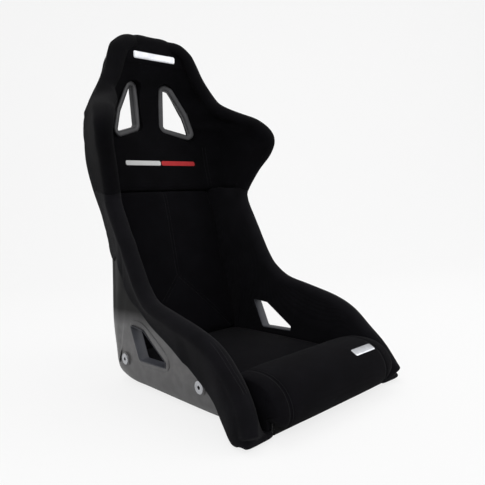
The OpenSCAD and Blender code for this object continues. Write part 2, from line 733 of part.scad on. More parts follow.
front_steps = [-1, -0.97, -0.9, -0.8, -0.77, -0.5, -0.2, 0, 0.2, 0.5, 0.77, 0.8, 0.9, 0.97, 1];
front_half = hip - wall - hip_padding - loose_gap - 2;
function front_pull(k) = let (d = abs(k)) shoulder(k, 12) + (d > 0.78 && d < 0.82 ? 2 : 0);
function front_point(i, k) =
  let (p = front_outer[i], c = [(front_rear + front_face_y) / 2, 60], v = p - c,
       q = p - unit(v) * front_pull(k))
  [k * front_half, min(q[0], front_rear), max(q[1], 14)];
module front_cushion() {
  color([0.08, 0.08, 0.09])
    grid_solid(
      [for (k = front_steps) [for (i = [0:11]) front_point(i, k)]],
      [for (k = front_steps) [for (i = [0:11])
        [k * front_half, front_inner[i][0], front_inner[i][1]]]]);
}

module front_apron() {
  color([0.05, 0.05, 0.05])
    translate([-front_wall_width / 2, front_face_y - wall, 8])
      cube([front_wall_width, wall - gap, front_wall_top - 8]);
}

module strip(rows, from_x, to_x) {
  grid_solid(
    [for (s = rows) [for (x = [from_x, to_x])
      let (w = row_of(breadth, s)) skin(s, x / (w[0] - w[2]), wall + underlay)]],
    [for (s = rows) [for (x = [from_x, to_x])
      let (w = row_of(breadth, s)) skin(s, x / (w[0] - w[2]), wall)]]);
}
module seat_cushion_strips() {
  color([0.12, 0.12, 0.12]) {
    strip([5, 6, 7], 70, 100);
    mirror([1, 0, 0]) strip([5, 6, 7], 70, 100);
  }
}
module back_cushion_strips() {
  color([0.12, 0.12, 0.12]) {
    strip([12, 13, 14, 15], 70, 100);
    mirror([1, 0, 0]) strip([12, 13, 14, 15], 70, 100);
  }
}
module front_cushion_strip() {
  color([0.12, 0.12, 0.12]) strip([1.5, 2], -100, 100);
}

// Blank patches and bars lie on the padded faces.
patch_lift = 0.4;
module face_plate(x0, x1, rows, lift, thick) {
  xs = [for (k = [0:6]) x0 + (x1 - x0) * k / 6];
  grid_solid(
    [for (s = rows) [for (x = xs) on_face(s, x, lift + thick)]],
    [for (s = rows) [for (x = xs) on_face(s, x, lift)]]);
}
function face_column(s, x, low, high, n) =
  let (mid = (low + high) / 2)
  n == 0 ? mid
  : upper_face(s, mid, edge_out(s))[0] < x ? face_column(s, x, mid, high, n - 1)
  : face_column(s, x, low, mid, n - 1);
function on_face(s, x, lift) =
  let (q = upper_face(s, face_column(s, abs(x), 0, 2, 9), edge_out(s))) [x, q[1] - lift, q[2]];
module head_patch() {
  color([0.75, 0.76, 0.78])
    face_plate(-66, 66, [25.65 - patch_height / 50, 25.65, 25.65 + patch_height / 50], patch_lift, 1.2);
}
module chest_bar_white() {
  color([0.9, 0.9, 0.9]) face_plate(-104, 3, [17.17, 17.45], patch_lift, 1);
}
module chest_bar_red() {
  color([0.75, 0.08, 0.08]) face_plate(6, 118, [17.17, 17.45], patch_lift, 1);
}
// The patch of the front cushion bends over the upper edge of its nose.
patch_from = 70;
patch_to = 142;
module front_patch() {
  corner = front_outer[6];
  down = unit(front_outer[7] - corner);
  up = unit(front_outer[5] - corner);
  below = [down[1], -down[0]];
  above = [-up[1], up[0]];
  path = [corner + down * patch_height / 2, corner, corner + up * patch_height / 2];
  outs = [below, unit(below + above), above];
  color([0.75, 0.76, 0.78])
    translate([patch_from, 0, 0])
      rotate([90, 0, 90])
        linear_extrude(patch_to - patch_from)
          polygon(concat([for (k = [0:2]) path[k] + outs[k] * patch_lift],
                         [for (k = [2:-1:0]) path[k] + outs[k] * (patch_lift + 1.2)]));
}

shell_thighs();
shell_hips();
shell_loins();
shell_back();
mount_plate_left();
mount_plate_right();
mount_inserts();
harness_trim_left();
harness_trim_right();
lap_trim_left();
lap_trim_right();
crotch_slot_trim();
upper_pad();
side_bolster_left();
side_bolster_right();
lower_back_cushion();
seat_cushion();
front_cushion();
front_apron();
seat_cushion_strips();
back_cushion_strips();
front_cushion_strip();
head_patch();
front_patch();
chest_bar_white();
chest_bar_red();
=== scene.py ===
import math

import bmesh
import bpy
import numpy as np
from mathutils import Matrix, Vector
from mathutils.bvhtree import BVHTree


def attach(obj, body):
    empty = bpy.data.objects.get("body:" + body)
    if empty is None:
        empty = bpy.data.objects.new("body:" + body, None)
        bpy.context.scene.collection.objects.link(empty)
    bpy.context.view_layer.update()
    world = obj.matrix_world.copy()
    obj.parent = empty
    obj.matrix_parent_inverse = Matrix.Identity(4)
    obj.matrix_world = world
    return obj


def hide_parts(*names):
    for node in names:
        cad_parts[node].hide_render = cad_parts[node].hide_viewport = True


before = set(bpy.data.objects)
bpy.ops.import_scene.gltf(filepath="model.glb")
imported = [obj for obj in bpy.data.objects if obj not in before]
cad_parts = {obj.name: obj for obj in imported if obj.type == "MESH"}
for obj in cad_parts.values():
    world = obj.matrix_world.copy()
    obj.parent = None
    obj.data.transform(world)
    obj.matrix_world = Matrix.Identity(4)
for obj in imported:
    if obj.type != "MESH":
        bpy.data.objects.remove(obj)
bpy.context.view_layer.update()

# THE STUDIO
# A white sweep of paper under soft lamps: the floor bends up into the backdrop behind the seat.
# The paper answers the camera with extra white, so the page stays pale and still takes a shadow.
PAPER_WHITE = (0.9, 0.9, 0.9, 1)
PAPER_HALF = 4.0
SWEEP_START = 1.6
SWEEP_RADIUS = 1.2
WALL_HEIGHT = 4.0


def mesh_piece(name, points, faces, smooth=True):
    """A new object with its mesh in metres, standing at the origin."""
    mesh = bpy.data.meshes.new(name)
    mesh.from_pydata([tuple(p) for p in points], [], [tuple(f) for f in faces])
    mesh.polygons.foreach_set("use_smooth", [smooth] * len(mesh.polygons))
    mesh.update()
    piece = bpy.data.objects.new(name, mesh)
    bpy.context.scene.collection.objects.link(piece)
    return piece


class Wire:
    """A shader socket; arithmetic on wires adds Math nodes to the tree."""

    def __init__(self, tree, socket):
        self.tree = tree
        self.socket = socket

    def math(self, operation, first, second=0.0):
        return add_node(self.tree, "ShaderNodeMath", {"operation": operation}, {0: first, 1: second})

    def __add__(self, other):
        return self.math("ADD", self, other)

    def __radd__(self, other):
        return self.math("ADD", other, self)

    def __sub__(self, other):
        return self.math("SUBTRACT", self, other)

    def __rsub__(self, other):
        return self.math("SUBTRACT", other, self)

    def __mul__(self, other):
        return self.math("MULTIPLY", self, other)

    def __rmul__(self, other):
        return self.math("MULTIPLY", other, self)

    def __truediv__(self, other):
        return self.math("DIVIDE", self, other)

    def to_power(self, other):
        return self.math("POWER", self, other)


def add_node(tree, kind, settings, sockets, output=0):
    """One node: its settings first, then a value or a wire on each named socket."""
    node = tree.nodes.new(kind)
    for key, value in settings.items():
        if key == "stops":
            ramp = node.color_ramp
            while len(ramp.elements) < len(value):
                ramp.elements.new(0.5)
            for element, (place, colour) in zip(ramp.elements, value):
                element.position = place
                element.color = colour
        else:
            setattr(node, key, value)
    for key, value in sockets.items():
        if isinstance(value, Wire):
            tree.links.new(value.socket, node.inputs[key])
        else:
            node.inputs[key].default_value = value
    return Wire(tree, node.outputs[output])


def new_finish(name):
    """An empty material and its tree, with the output node."""
    material = bpy.data.materials.new(name)
    material.use_nodes = True
    tree = material.node_tree
    tree.nodes.clear()
    tree.nodes.new("ShaderNodeOutputMaterial")
    return material, tree


def paper_finish():
    material, tree = new_finish("studio_paper")
    matt = add_node(tree, "ShaderNodeBsdfDiffuse", {}, {"Color": PAPER_WHITE})
    glow = add_node(tree, "ShaderNodeEmission", {}, {"Color": (1, 1, 1, 1), "Strength": 1.0})
    path = tree.nodes.new("ShaderNodeLightPath")
    seen = Wire(tree, path.outputs["Is Camera Ray"]) * 0.8
    both = add_node(tree, "ShaderNodeMixShader", {}, {0: seen, 1: matt, 2: glow})
    tree.links.new(both.socket, tree.nodes["Material Output"].inputs[0])
    return material


def build_paper():
    profile = [(-PAPER_HALF, 0.0), (SWEEP_START, 0.0)]
    for step in range(1, 13):
        angle = math.pi / 2 * step / 12
        profile.append((SWEEP_START + SWEEP_RADIUS * math.sin(angle), SWEEP_RADIUS * (1 - math.cos(angle))))
    profile.append((SWEEP_START + SWEEP_RADIUS, WALL_HEIGHT))
    points = [(side * PAPER_HALF, y, z) for y, z in profile for side in (-1, 1)]
    faces = [(2 * k, 2 * k + 1, 2 * k + 3, 2 * k + 2) for k in range(len(profile) - 1)]
    paper = mesh_piece("studio_paper", points, faces)
    # The sweep is turned to stand square behind the seat as the camera sees it.
    paper.data.transform(Matrix.Rotation(math.radians(-41), 4, "Z"))
    paper.data.materials.append(paper_finish())


def build_lamp(name, place, aim, size, power):
    lamp = bpy.data.lights.new(name, "AREA")
    lamp.shape = "RECTANGLE"
    lamp.size, lamp.size_y = size
    lamp.energy = power
    holder = bpy.data.objects.new(name, lamp)
    bpy.context.scene.collection.objects.link(holder)
    way = Vector(aim) - Vector(place)
    holder.location = place
    holder.rotation_euler = way.to_track_quat("-Z", "Y").to_euler()


def build_world():
    world = bpy.data.worlds.new("studio_air")
    bpy.context.scene.world = world
    world.use_nodes = True
    tree = world.node_tree
    tree.nodes.clear()
    output = tree.nodes.new("ShaderNodeOutputWorld")
    path = tree.nodes.new("ShaderNodeLightPath")
    seen = add_node(tree, "ShaderNodeMath", {"operation": "MAXIMUM"},
                    {0: Wire(tree, path.outputs["Is Camera Ray"]),
                     1: Wire(tree, path.outputs["Is Transmission Ray"])})
    seen = add_node(tree, "ShaderNodeMath", {"operation": "MAXIMUM"},
                    {0: seen, 1: Wire(tree, path.outputs["Is Glossy Ray"])})
    level = 0.5 + seen * 0.5
    sky = add_node(tree, "ShaderNodeBackground", {}, {"Color": (1, 1, 1, 1), "Strength": level})
    tree.links.new(sky.socket, output.inputs[0])


def build_camera():
    """The camera stands left of the seat's front, a little above the seat cushion."""
    lens = bpy.data.cameras.new("camera")
    lens.sensor_width = 36.0
    lens.lens = 37.707
    camera = bpy.data.objects.new("camera", lens)
    bpy.context.scene.collection.objects.link(camera)
    right = Vector((0.7431, -0.6672, -0.0506))
    up = Vector((0.0885, 0.0230, 0.9958))
    back = right.cross(up)
    turn = Matrix((right, up, back)).transposed().to_4x4()
    camera.matrix_world = Matrix.Translation((-0.7753, -0.9231, 0.4194)) @ turn
    bpy.context.scene.camera = camera


build_paper()
build_world()
build_camera()
build_lamp("key_lamp", (-1.9, -1.5, 2.1), (0, 0, 0.4), (1.6, 1.6), 20)
build_lamp("fill_lamp", (1.9, -1.6, 1.5), (0, 0, 0.4), (1.4, 1.8), 17)
build_lamp("top_lamp", (0.2, 0.4, 2.6), (0, 0, 0.4), (1.8, 1.8), 18)
bpy.context.scene.view_settings.view_transform = "Standard"

# THE MOULDED BUCKET
# One hand-laid glass-fibre shell with hip walls, shoulder wings and a head, finished in grey gel-coat
# with painted shade on it: the colour goes near black from the hips up and a touch darker at the foot.
# Its form is drawn from stations along the spine, in millimetres, the same ones that the frame was built
# from.
MM = 0.001
HIP = 203.0
ROLL = 20.0
WING = 537 / 2 - ROLL + 2.5
HEAD = 256 / 2 - ROLL
WALL = 4.0
CREST = WALL / 2
GAP = 0.3
SHIFT = 20.0
WAIST = 16
CROWN_FOOT = 25

# Spine point and edge point of each station, as y and z, from the front lip to the crown.
SIDE_VIEW = np.array([
    (-316, 9, -313, 22), (-285, 6, -285, 72), (-250, 4, -252, 108), (-212, 2, -211, 144),
    (-160, 0.5, -160, 166), (-80, 0, -83, 185), (0, 0, -4, 205), (75, 0, 44, 240),
    (140, 0, 68, 274), (190, 12, 84, 303), (214, 40, 94, 322), (223, 82, 101, 337),
    (232, 150, 113, 358), (247, 245, 128, 386), (257, 310, 138, 405), (268, 390, 149, 432),
    (280, 462, 148, 462), (290, 520, 119, 520), (297, 562, 88, 566), (301, 598, 80, 600),
    (303, 630, 101, 632), (303, 660, 146, 660), (303, 690, 192, 690), (302, 730, 223, 724),
    (299, 777, 234, 768), (298, 815, 241, 806), (291, 843, 245, 832), (279, 860, 251, 852),
    (265, 864.4, 263, 858.4)])
LAST = len(SIDE_VIEW) - 1
# Half widths at the corner and at the edge, then the corner's breadth and depth.
BREADTH = np.array([
    (HIP + 4, HIP + 17, 22, 9), (HIP + 1, HIP + 10, 30, 24), (HIP, HIP + 5, 40, 38),
    (HIP, HIP + 5, 46, 46), (HIP, HIP + 7, 46, 46), (HIP, HIP + 7, 46, 46), (HIP, HIP + 5, 46, 46),
    (HIP, HIP, 46, 46), (HIP, HIP - 2, 47, 46), (HIP, HIP - 2, 50, 48), (HIP - 1, HIP - 2, 54, 50),
    (HIP - 1, HIP - 2, 58, 54), (HIP - 2, HIP - 1, 58, 56), (HIP - 15, HIP - 1, 58, 56),
    (HIP - 22, HIP - 1, 58, 56), (HIP - 17, HIP, 58, 56), (HIP - 3, HIP + 3, 58, 56),
    (WING - 42, WING - 25, 60, 60), (WING - 41, WING - 4, 64, 62), (WING - 42, WING - 1, 78, 68),
    (WING - 44, WING - 20, 130, 82), (WING - 48, WING - 48, 180, 104),
    (HEAD + 72, HEAD + 60, 165, 90), (HEAD + 54, HEAD + 51, 132, 60),
    (HEAD + 27, HEAD + 24, 96, 48), (HEAD + 10, HEAD + 8, 74, 44), (HEAD - 4, HEAD - 6, 62, 24),
    (HEAD - 27, HEAD - 30, 50, 7), (HEAD - 66, HEAD - 54, 24, 2)])


def blend_four(a, b, c, d, t):
    return 0.5 * (2 * b + (c - a) * t + (2 * a - 5 * b + 4 * c - d) * t * t
                  + (3 * b - a - 3 * c + d) * t ** 3)


def row_of(table, s):
    """The smooth value of a station table at station s, which need not be whole."""
    i = min(max(math.floor(s), 0), len(table) - 2)
    return blend_four(table[max(i - 1, 0)], table[i], table[i + 1],
                      table[min(i + 2, len(table) - 1)], s - i)


def unit(v):
    return v / np.linalg.norm(v)


def side_at(s):
    return row_of(SIDE_VIEW, s) + np.array([SHIFT, 0, SHIFT, 0])


def inward(s):
    before, after = side_at(s - 0.03), side_at(s + 0.03)
    along = unit(after[:2] - before[:2])
    return np.array([-along[1], along[0]])


def station(s, _kept={}):
    """Side view, breadth, inward direction, knee and length of the side wall at station s."""
    key = round(s, 5)
    if key not in _kept:
        q, w, n = side_at(s), row_of(BREADTH, s), inward(s)
        knee = q[:2] + n * w[3]
        _kept[key] = (q, w, n, knee, np.linalg.norm(q[2:] - knee))
    return _kept[key]


def place(s, x, v):
    """The point of section s at half width x and height v above the spine line."""
    q, w, n, knee = station(s)[:4]
    yz = q[:2] + n * v if v <= w[3] else knee + unit(q[2:] - knee) * (v - w[3])
    return np.array([x, yz[0], yz[1]])


def shell_face(s, u):
    """Outer face: u runs 0 to 1 over the flat, 1 to 2 round the corner, 2 to 3 up the wall."""
    w, wall = station(s)[1], station(s)[4]
    flat = w[0] - w[2]
    if u <= 1:
        return place(s, flat * u, 0)
    if u <= 2:
        turn = math.pi / 2 * (u - 1)
        return place(s, flat + w[2] * math.sin(turn), w[3] * (1 - math.cos(turn)))
    return place(s, w[0] + (w[1] - w[0]) * (u - 2), w[3] + wall * (u - 2))


def plain_facing(s, u):
    e = 0.03
    across = shell_face(s, u + e) - shell_face(s, max(u - e, 0))
    along = shell_face(s + e, u) - shell_face(s - e, u)
    return unit(np.cross(across, along))


def facing(s, u, _kept={}):
    """Inward normal of the shell; over the crown it turns towards that of the middle line."""
    key = (round(s, 5), round(u, 5))
    if key not in _kept:
        if s <= CROWN_FOOT:
            _kept[key] = plain_facing(s, u)
        else:
            share = (LAST - s) / (LAST - CROWN_FOOT)
            _kept[key] = unit(plain_facing(s, 0) + share * (plain_facing(CROWN_FOOT, u)
                                                           - plain_facing(CROWN_FOOT, 0)))
    return _kept[key]


def skin(s, u, depth):
    p = shell_face(s, abs(u)) + facing(s, abs(u)) * depth
    return p * np.array([-1 if u < 0 else 1, 1, 1])


def grid_faces(rows, cols, start=0, turned=False):
    """Quads of a grid of points listed row by row."""
    faces = []
    for i in range(rows - 1):
        for j in range(cols - 1):
            a = start + i * cols + j
            quad = (a, a + 1, a + cols + 1, a + cols)
            faces.append(quad[::-1] if turned else quad)
    return faces


def rim_faces(rows, cols):
    """Quads that close the rim between a front grid and a back grid of the same size."""
    count = rows * cols
    ring = [j for j in range(cols)] + [i * cols + cols - 1 for i in range(1, rows)]
    ring += [(rows - 1) * cols + j for j in range(cols - 2, -1, -1)]
    ring += [i * cols for i in range(rows - 2, 0, -1)]
    faces = []
    for a, b in zip(ring, ring[1:] + ring[:1]):
        faces.append((b, a, a + count, b + count))
    return faces


def grid_piece(name, front, back):
    """A closed piece between two grids of points given in millimetres."""
    rows, cols = len(front), len(front[0])
    points = [p * MM for row in front for p in row] + [p * MM for row in back for p in row]
    faces = grid_faces(rows, cols) + grid_faces(rows, cols, rows * cols, True) + rim_faces(rows, cols)
    piece = mesh_piece(name, points, faces)
    tidy_mesh(piece)
    return piece


def tidy_mesh(piece, merge=0.00005):
    """Merges doubles and turns every face outwards."""
    shape = bmesh.new()
    shape.from_mesh(piece.data)
    bmesh.ops.remove_doubles(shape, verts=shape.verts, dist=merge)
    bmesh.ops.recalc_face_normals(shape, faces=shape.faces)
    if shape.calc_volume(signed=True) < 0:
        bmesh.ops.reverse_faces(shape, faces=shape.faces)
    shape.to_mesh(piece.data)
    shape.free()
    piece.data.polygons.foreach_set("use_smooth", [True] * len(piece.data.polygons))


def grown(outline, by):
    """A closed outline with every side moved outwards by one distance, corners kept."""
    points = [np.array(p, float) for p in outline]
    area = sum(a[0] * b[1] - a[1] * b[0] for a, b in zip(points, points[1:] + points[:1]))
    turn = 1 if area > 0 else -1
    result = []
    for k, p in enumerate(points):
        before, after = unit(p - points[k - 1]), unit(points[(k + 1) % len(points)] - p)
        normals = [turn * np.array([w[1], -w[0]]) for w in (before, after)]
        middle = unit(normals[0] + normals[1])
        result.append(p + middle * by / max(middle @ normals[0], 0.5))
    return result


def prism(name, outline, low, high, setting):
    """A cutter: an outline pushed from depth low to depth high of a plane's own axes."""
    count = len(outline)
    points = [setting(p[0], p[1], d) * MM for d in (low, high) for p in outline]
    faces = [tuple(range(count)), tuple(range(2 * count - 1, count - 1, -1))]
    faces += [(k, k + count, (k + 1) % count + count, (k + 1) % count) for k in range(count)]
    piece = mesh_piece(name, points, faces, smooth=False)
    tidy_mesh(piece)
    return piece


def cut_away(piece, cutters, operation="DIFFERENCE", folded=False):
    """Takes the cutters out of the piece, or joins them to it, and removes them."""
    for cutter in cutters:
        knife = piece.modifiers.new("knife", "BOOLEAN")
        knife.operation = operation
        knife.solver = "EXACT"
        knife.use_self = folded
        knife.object = cutter
    bake_shape(piece)
    for cutter in cutters:
        bpy.data.objects.remove(cutter)


def bake_shape(piece):
    """Replaces the mesh by what its modifiers make of it."""
    evaluated = piece.evaluated_get(bpy.context.evaluated_depsgraph_get())
    mesh = bpy.data.meshes.new_from_object(evaluated)
    piece.modifiers.clear()
    old = piece.data
    piece.data = mesh
    mesh.name = piece.name
    bpy.data.meshes.remove(old)


# Outlines of the openings, sideways or fore and aft against height, and where their planes lie.
HARNESS_TALL = 112.0
HARNESS_LOW = 636.0
HARNESS_TURN = math.radians(20)
HARNESS_MIDDLE = 76.0
HARNESS_FACE = 274.0 + SHIFT
HARNESS_OUTLINE = [((x - HARNESS_MIDDLE) / math.cos(HARNESS_TURN), z) for x, z in (
    (47, HARNESS_TALL - 1), (52, HARNESS_TALL + 1), (60, HARNESS_TALL - 3),
    (98, HARNESS_TALL * 0.36), (112, -8), (107, -11), (47, 7), (43, 13))]
LAP_TALL = 72.0
LAP_LOW = 78.0
LAP_OUTLINE = [(96, LAP_TALL + 1), (44, LAP_TALL - 3), (-40, 14), (-37, 3), (62, 0), (66, 3)]
CROTCH_MIDDLE = -220 + SHIFT
CROTCH_OUTLINE = [(55 * x, 12 * y) for x, y in ((1, 0.5), (0.9, 1), (-0.9, 1), (-1, 0.5),
                                                (-1, -0.5), (-0.9, -1), (0.9, -1), (1, -0.5))]
SLEEVE = 2.0


def harness_setting(side):
    """Point of the shoulder opening's plane, with depth towards the front."""
    cos, sin = math.cos(HARNESS_TURN), math.sin(HARNESS_TURN)

    def setting(a, b, d):
        x = HARNESS_MIDDLE + a * cos - d * sin
        y = HARNESS_FACE - a * sin - d * cos
        return np.array([side * x, y, HARNESS_LOW + b])
    return setting


def lap_setting(side):
    return lambda a, b, d: np.array([side * d, a + SHIFT, LAP_LOW + b])


MOUNT_YS = (8.0 - 145, 8.0 + 145)
MOUNT_UP = 67.0
LAND_FACE = HIP + 3.4
BOSS_RADIUS = 16.0
BARREL_RADIUS = 6.6


def disc_outline(radius, steps=40):
    return [(radius * math.cos(2 * math.pi * k / steps), radius * math.sin(2 * math.pi * k / steps))
            for k in range(steps)]


def build_shell():
    rows = np.concatenate([np.arange(0, 10, 0.25), np.arange(10, 25, 0.25), np.arange(25, LAST + 0.01, 0.2)])
    half = np.concatenate([[0, 0.33, 0.66], np.arange(1, 2, 0.1), np.arange(2, 3.01, 0.1)])
    columns = np.concatenate([-half[:0:-1], half])
    shell = grid_piece("bucket_shell",
                       [[skin(s, u, WALL) for u in columns] for s in rows],
                       [[skin(s, u, 0) for u in columns] for s in rows])
    uncut = ([tuple(v.co) for v in shell.data.vertices], [tuple(f.vertices) for f in shell.data.polygons])
    front = -316 + SHIFT
    wall_half = 166
    wall = [(-wall_half, 10), (wall_half, 10), (wall_half, 74), (-wall_half, 74)]
    joined = [prism("front_wall", wall, front, front + WALL, lambda a, b, d: np.array([a, d, b]))]
    knives = [prism("slot_knife", grown(CROTCH_OUTLINE, GAP), -5, 15,
                    lambda a, b, d: np.array([a, CROTCH_MIDDLE + b, d]))]
    for side in (-1, 1):
        for y in MOUNT_YS:
            spot = lambda a, b, d, y=y, side=side: np.array([side * d, y + a, MOUNT_UP + b])
            joined.append(prism("boss", disc_outline(BOSS_RADIUS), HIP - 6, LAND_FACE, spot))
            knives.append(prism("boss_knife", disc_outline(BARREL_RADIUS), HIP - 20, HIP + 20, spot))
        knives.append(prism("harness_knife", grown(HARNESS_OUTLINE, SLEEVE + GAP), -70, 60,
                            harness_setting(side)))
        knives.append(prism("lap_knife", grown(LAP_OUTLINE, SLEEVE + GAP), HIP - 30, HIP + 30,
                            lap_setting(side)))
    cut_away(shell, joined, "UNION")
    cut_away(shell, knives)
    return shell, uncut


def smooth_below(piece, degrees):
    """Smooth shading with creases kept where faces meet at more than an angle."""
    shape = bmesh.new()
    shape.from_mesh(piece.data)
    bmesh.ops.remove_doubles(shape, verts=shape.verts, dist=0.00002)
    bmesh.ops.dissolve_degenerate(shape, edges=shape.edges, dist=0.00001)
    for face in shape.faces:
        face.smooth = True
    for edge in shape.edges:
        edge.smooth = len(edge.link_faces) == 2 and edge.calc_face_angle(0) < math.radians(degrees)
    shape.to_mesh(piece.data)
    shape.free()


def gelcoat_finish():
    """Grey gel-coat with painted shade, near black from the hips up and a touch darker at the foot, with flow
    marks, fine orange peel and dust.
    """
    material, tree = new_finish("gelcoat")
    spot = add_node(tree, "ShaderNodeTexCoord", {}, {}, "Object")
    axes = add_node(tree, "ShaderNodeSeparateXYZ", {}, {0: spot}, "Z")
    cloud = add_node(tree, "ShaderNodeTexNoise", {}, {"Vector": spot, "Scale": 6.0, "Detail": 3.0})
    height = axes + (cloud - 0.5) * 0.02
    # Painted shade: the tone by height is a touch darker at the foot and fades from grey at about 145 mm to
    # near black at 186 mm and above.
    tone = add_node(tree, "ShaderNodeValToRGB",
                    {"stops": [(0.0, (0.105, 0.105, 0.107, 1)), (0.3, (0.122, 0.119, 0.12, 1)),
                               (0.5, (0.112, 0.11, 0.112, 1)), (0.64, (0.003, 0.003, 0.003, 1))]},
                    {0: height / 0.29})
    marks = add_node(tree, "ShaderNodeTexNoise", {}, {"Vector": spot, "Scale": 45.0, "Detail": 5.0})
    speck = add_node(tree, "ShaderNodeValToRGB",
                     {"stops": [(0.42, (0.86, 0.86, 0.86, 1)), (0.62, (1.06, 1.06, 1.07, 1))]}, {0: marks})
    colour = add_node(tree, "ShaderNodeMix", {"data_type": "RGBA", "blend_type": "MULTIPLY"},
                      {0: 1.0, "A": tone, "B": speck}, 2)
    peel = add_node(tree, "ShaderNodeTexNoise", {}, {"Vector": spot, "Scale": 260.0, "Detail": 2.0})
    bump = add_node(tree, "ShaderNodeBump", {}, {"Strength": 0.12, "Distance": 0.0004, "Height": peel})
    matt = add_node(tree, "ShaderNodeValToRGB",
                    {"stops": [(0.48, (0, 0, 0, 1)), (0.64, (1, 1, 1, 1))]}, {0: height / 0.29})
    skin_node = add_node(tree, "ShaderNodeBsdfPrincipled", {},
                         {"Base Color": colour, "Roughness": 0.3 + marks * 0.14 + matt * 0.3, "Normal": bump,
                          "Specular IOR Level": 0.2, "Coat Weight": 0.3 - matt * 0.29,
                          "Coat Roughness": 0.15})
    tree.links.new(skin_node.socket, tree.nodes["Material Output"].inputs[0])
    return material


shell, uncut_shell = build_shell()
smooth_below(shell, 30)
shell.data.materials.append(gelcoat_finish())
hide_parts("shell_thighs", "shell_hips", "shell_loins", "shell_back")
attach(shell, "root")


LAND_OUTLINE = ((107, 82), (94, 88), (58, 88), (34, 81), (-9, 58), (-50, 31),
                (-56, 7), (-47, -5), (-30, -9), (62, -11), (74, -6), (78, 4))
# Rings from the opening to the edge of the land: share of the way, and height above the wall.
LAND_RINGS = ((0.0, -1.0), (0.0, 1.4), (0.08, 2.1), (0.5, 2.2), (0.88, 2.1), (0.96, 1.6), (1.0, 0.4),
              (1.0, -1.0))


def build_lap_land(side, shell_tree):
    """The raised, rounded land moulded round a lap belt opening."""
    outer = [np.array(p, float) for p in LAND_OUTLINE]
    inner = grown(LAP_OUTLINE, 2.4)
    steps = 120
    middle = np.array([35.0, 35.0])

    def along(outline, share):
        """The point of the outline straight out from the middle at a share of the full turn."""
        way = np.array([math.cos(2 * math.pi * share), math.sin(2 * math.pi * share)])
        best = None
        for a, c in zip(outline, outline[1:] + outline[:1]):
            edge = c - a
            cross = way[0] * edge[1] - way[1] * edge[0]
            if abs(cross) < 1e-9:
                continue
            gap = a - middle
            far = (gap[0] * edge[1] - gap[1] * edge[0]) / cross
            place_on = (gap[0] * way[1] - gap[1] * way[0]) / cross
            if far > 0 and -1e-6 <= place_on <= 1 + 1e-6 and (best is None or far > best):
                best = far
        return middle + way * best

    inside = [along(inner, k / steps) for k in range(steps)]
    outside = [along(outer, k / steps) for k in range(steps)]
    for k in range(steps):
        # Where the land would fall inside the opening's rim it keeps a narrow width instead.
        least = inside[k] + unit(inside[k] - middle) * 4
        if np.linalg.norm(outside[k] - middle) < np.linalg.norm(least - middle):
            outside[k] = least
    for _ in range(6):
        outside = [(outside[k - 1] + 2 * outside[k] + outside[(k + 1) % steps]) / 4 for k in range(steps)]
    points, faces = [], []
    for share, height in LAND_RINGS:
        for a, c in zip(inside, outside):
            p = a + (c - a) * share
            start = Vector((side * 0.3, (p[0] + SHIFT) * MM, (LAP_LOW + p[1]) * MM))
            hit = shell_tree.ray_cast(start, Vector((-side, 0, 0)))[0]
            x = abs(hit.x) / MM if hit and abs(hit.x) > 0.19 else HIP + 4
            points.append(np.array([side * (x + height), p[0] + SHIFT, LAP_LOW + p[1]]) * MM)
    for i in range(len(LAND_RINGS)):
        a, c = i * steps, ((i + 1) % len(LAND_RINGS)) * steps
        faces += [(a + j, a + (j + 1) % steps, c + (j + 1) % steps, c + j) for j in range(steps)]
    land = mesh_piece("lap_land_" + ("right" if side > 0 else "left"), points, faces)
    tidy_mesh(land, 0.00001)
    return land


whole_tree = BVHTree.FromPolygons(*uncut_shell)
for side in (-1, 1):
    land = build_lap_land(side, whole_tree)
    smooth_below(land, 50)
    # The land takes the shell's gel-coat, with its painted shade.
    land.data.materials.append(shell.data.materials[0])
    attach(land, "root")

# THE STEEL PLATES AND MOUNT INSERTS
# Two zinc-plated steel strips bonded inside the hips and four flanged threaded inserts through
# the hip walls, which take the side mount brackets. The frame's own shapes are kept.
def metal_finish(name, colour, rough, grain):
    """Plated steel: satin, with drawn grain and slight cloudiness."""
    material, tree = new_finish(name)
    spot = add_node(tree, "ShaderNodeTexCoord", {}, {}, "Object")
    stretched = add_node(tree, "ShaderNodeMapping", {}, {"Vector": spot, "Scale": (40, 6, 40)})
    drawn = add_node(tree, "ShaderNodeTexNoise", {}, {"Vector": stretched, "Scale": grain, "Detail": 4.0})
    cloud = add_node(tree, "ShaderNodeTexNoise", {}, {"Vector": spot, "Scale": 70.0, "Detail": 3.0})
    tone = add_node(tree, "ShaderNodeValToRGB",
                    {"stops": [(0.3, tuple(c * 0.8 for c in colour) + (1,)), (0.7, colour + (1,))]},
                    {0: cloud})
    bump = add_node(tree, "ShaderNodeBump", {}, {"Strength": 0.2, "Distance": 0.0002, "Height": drawn})
    surface = add_node(tree, "ShaderNodeBsdfPrincipled", {},
                       {"Base Color": tone, "Metallic": 1.0, "Roughness": drawn * 0.2 + rough,
                        "Normal": bump})
    tree.links.new(surface.socket, tree.nodes["Material Output"].inputs[0])
    return material


def plastic_finish(name, dark, light, rough, scale=900.0, depth=0.0002):
    """Moulded plastic: a fine spark texture and a slightly uneven tone."""
    material, tree = new_finish(name)
    spot = add_node(tree, "ShaderNodeTexCoord", {}, {}, "Object")
    spark = add_node(tree, "ShaderNodeTexNoise", {}, {"Vector": spot, "Scale": scale, "Detail": 2.0})
    cloud = add_node(tree, "ShaderNodeTexNoise", {}, {"Vector": spot, "Scale": 30.0, "Detail": 4.0})
    tone = add_node(tree, "ShaderNodeValToRGB",
                    {"stops": [(0.35, dark + (1,)), (0.65, light + (1,))]}, {0: cloud})
    bump = add_node(tree, "ShaderNodeBump", {}, {"Strength": 0.3, "Distance": depth, "Height": spark})
    surface = add_node(tree, "ShaderNodeBsdfPrincipled", {},
                       {"Base Color": tone, "Roughness": spark * 0.16 + rough, "Normal": bump})
    tree.links.new(surface.socket, tree.nodes["Material Output"].inputs[0])
    return material


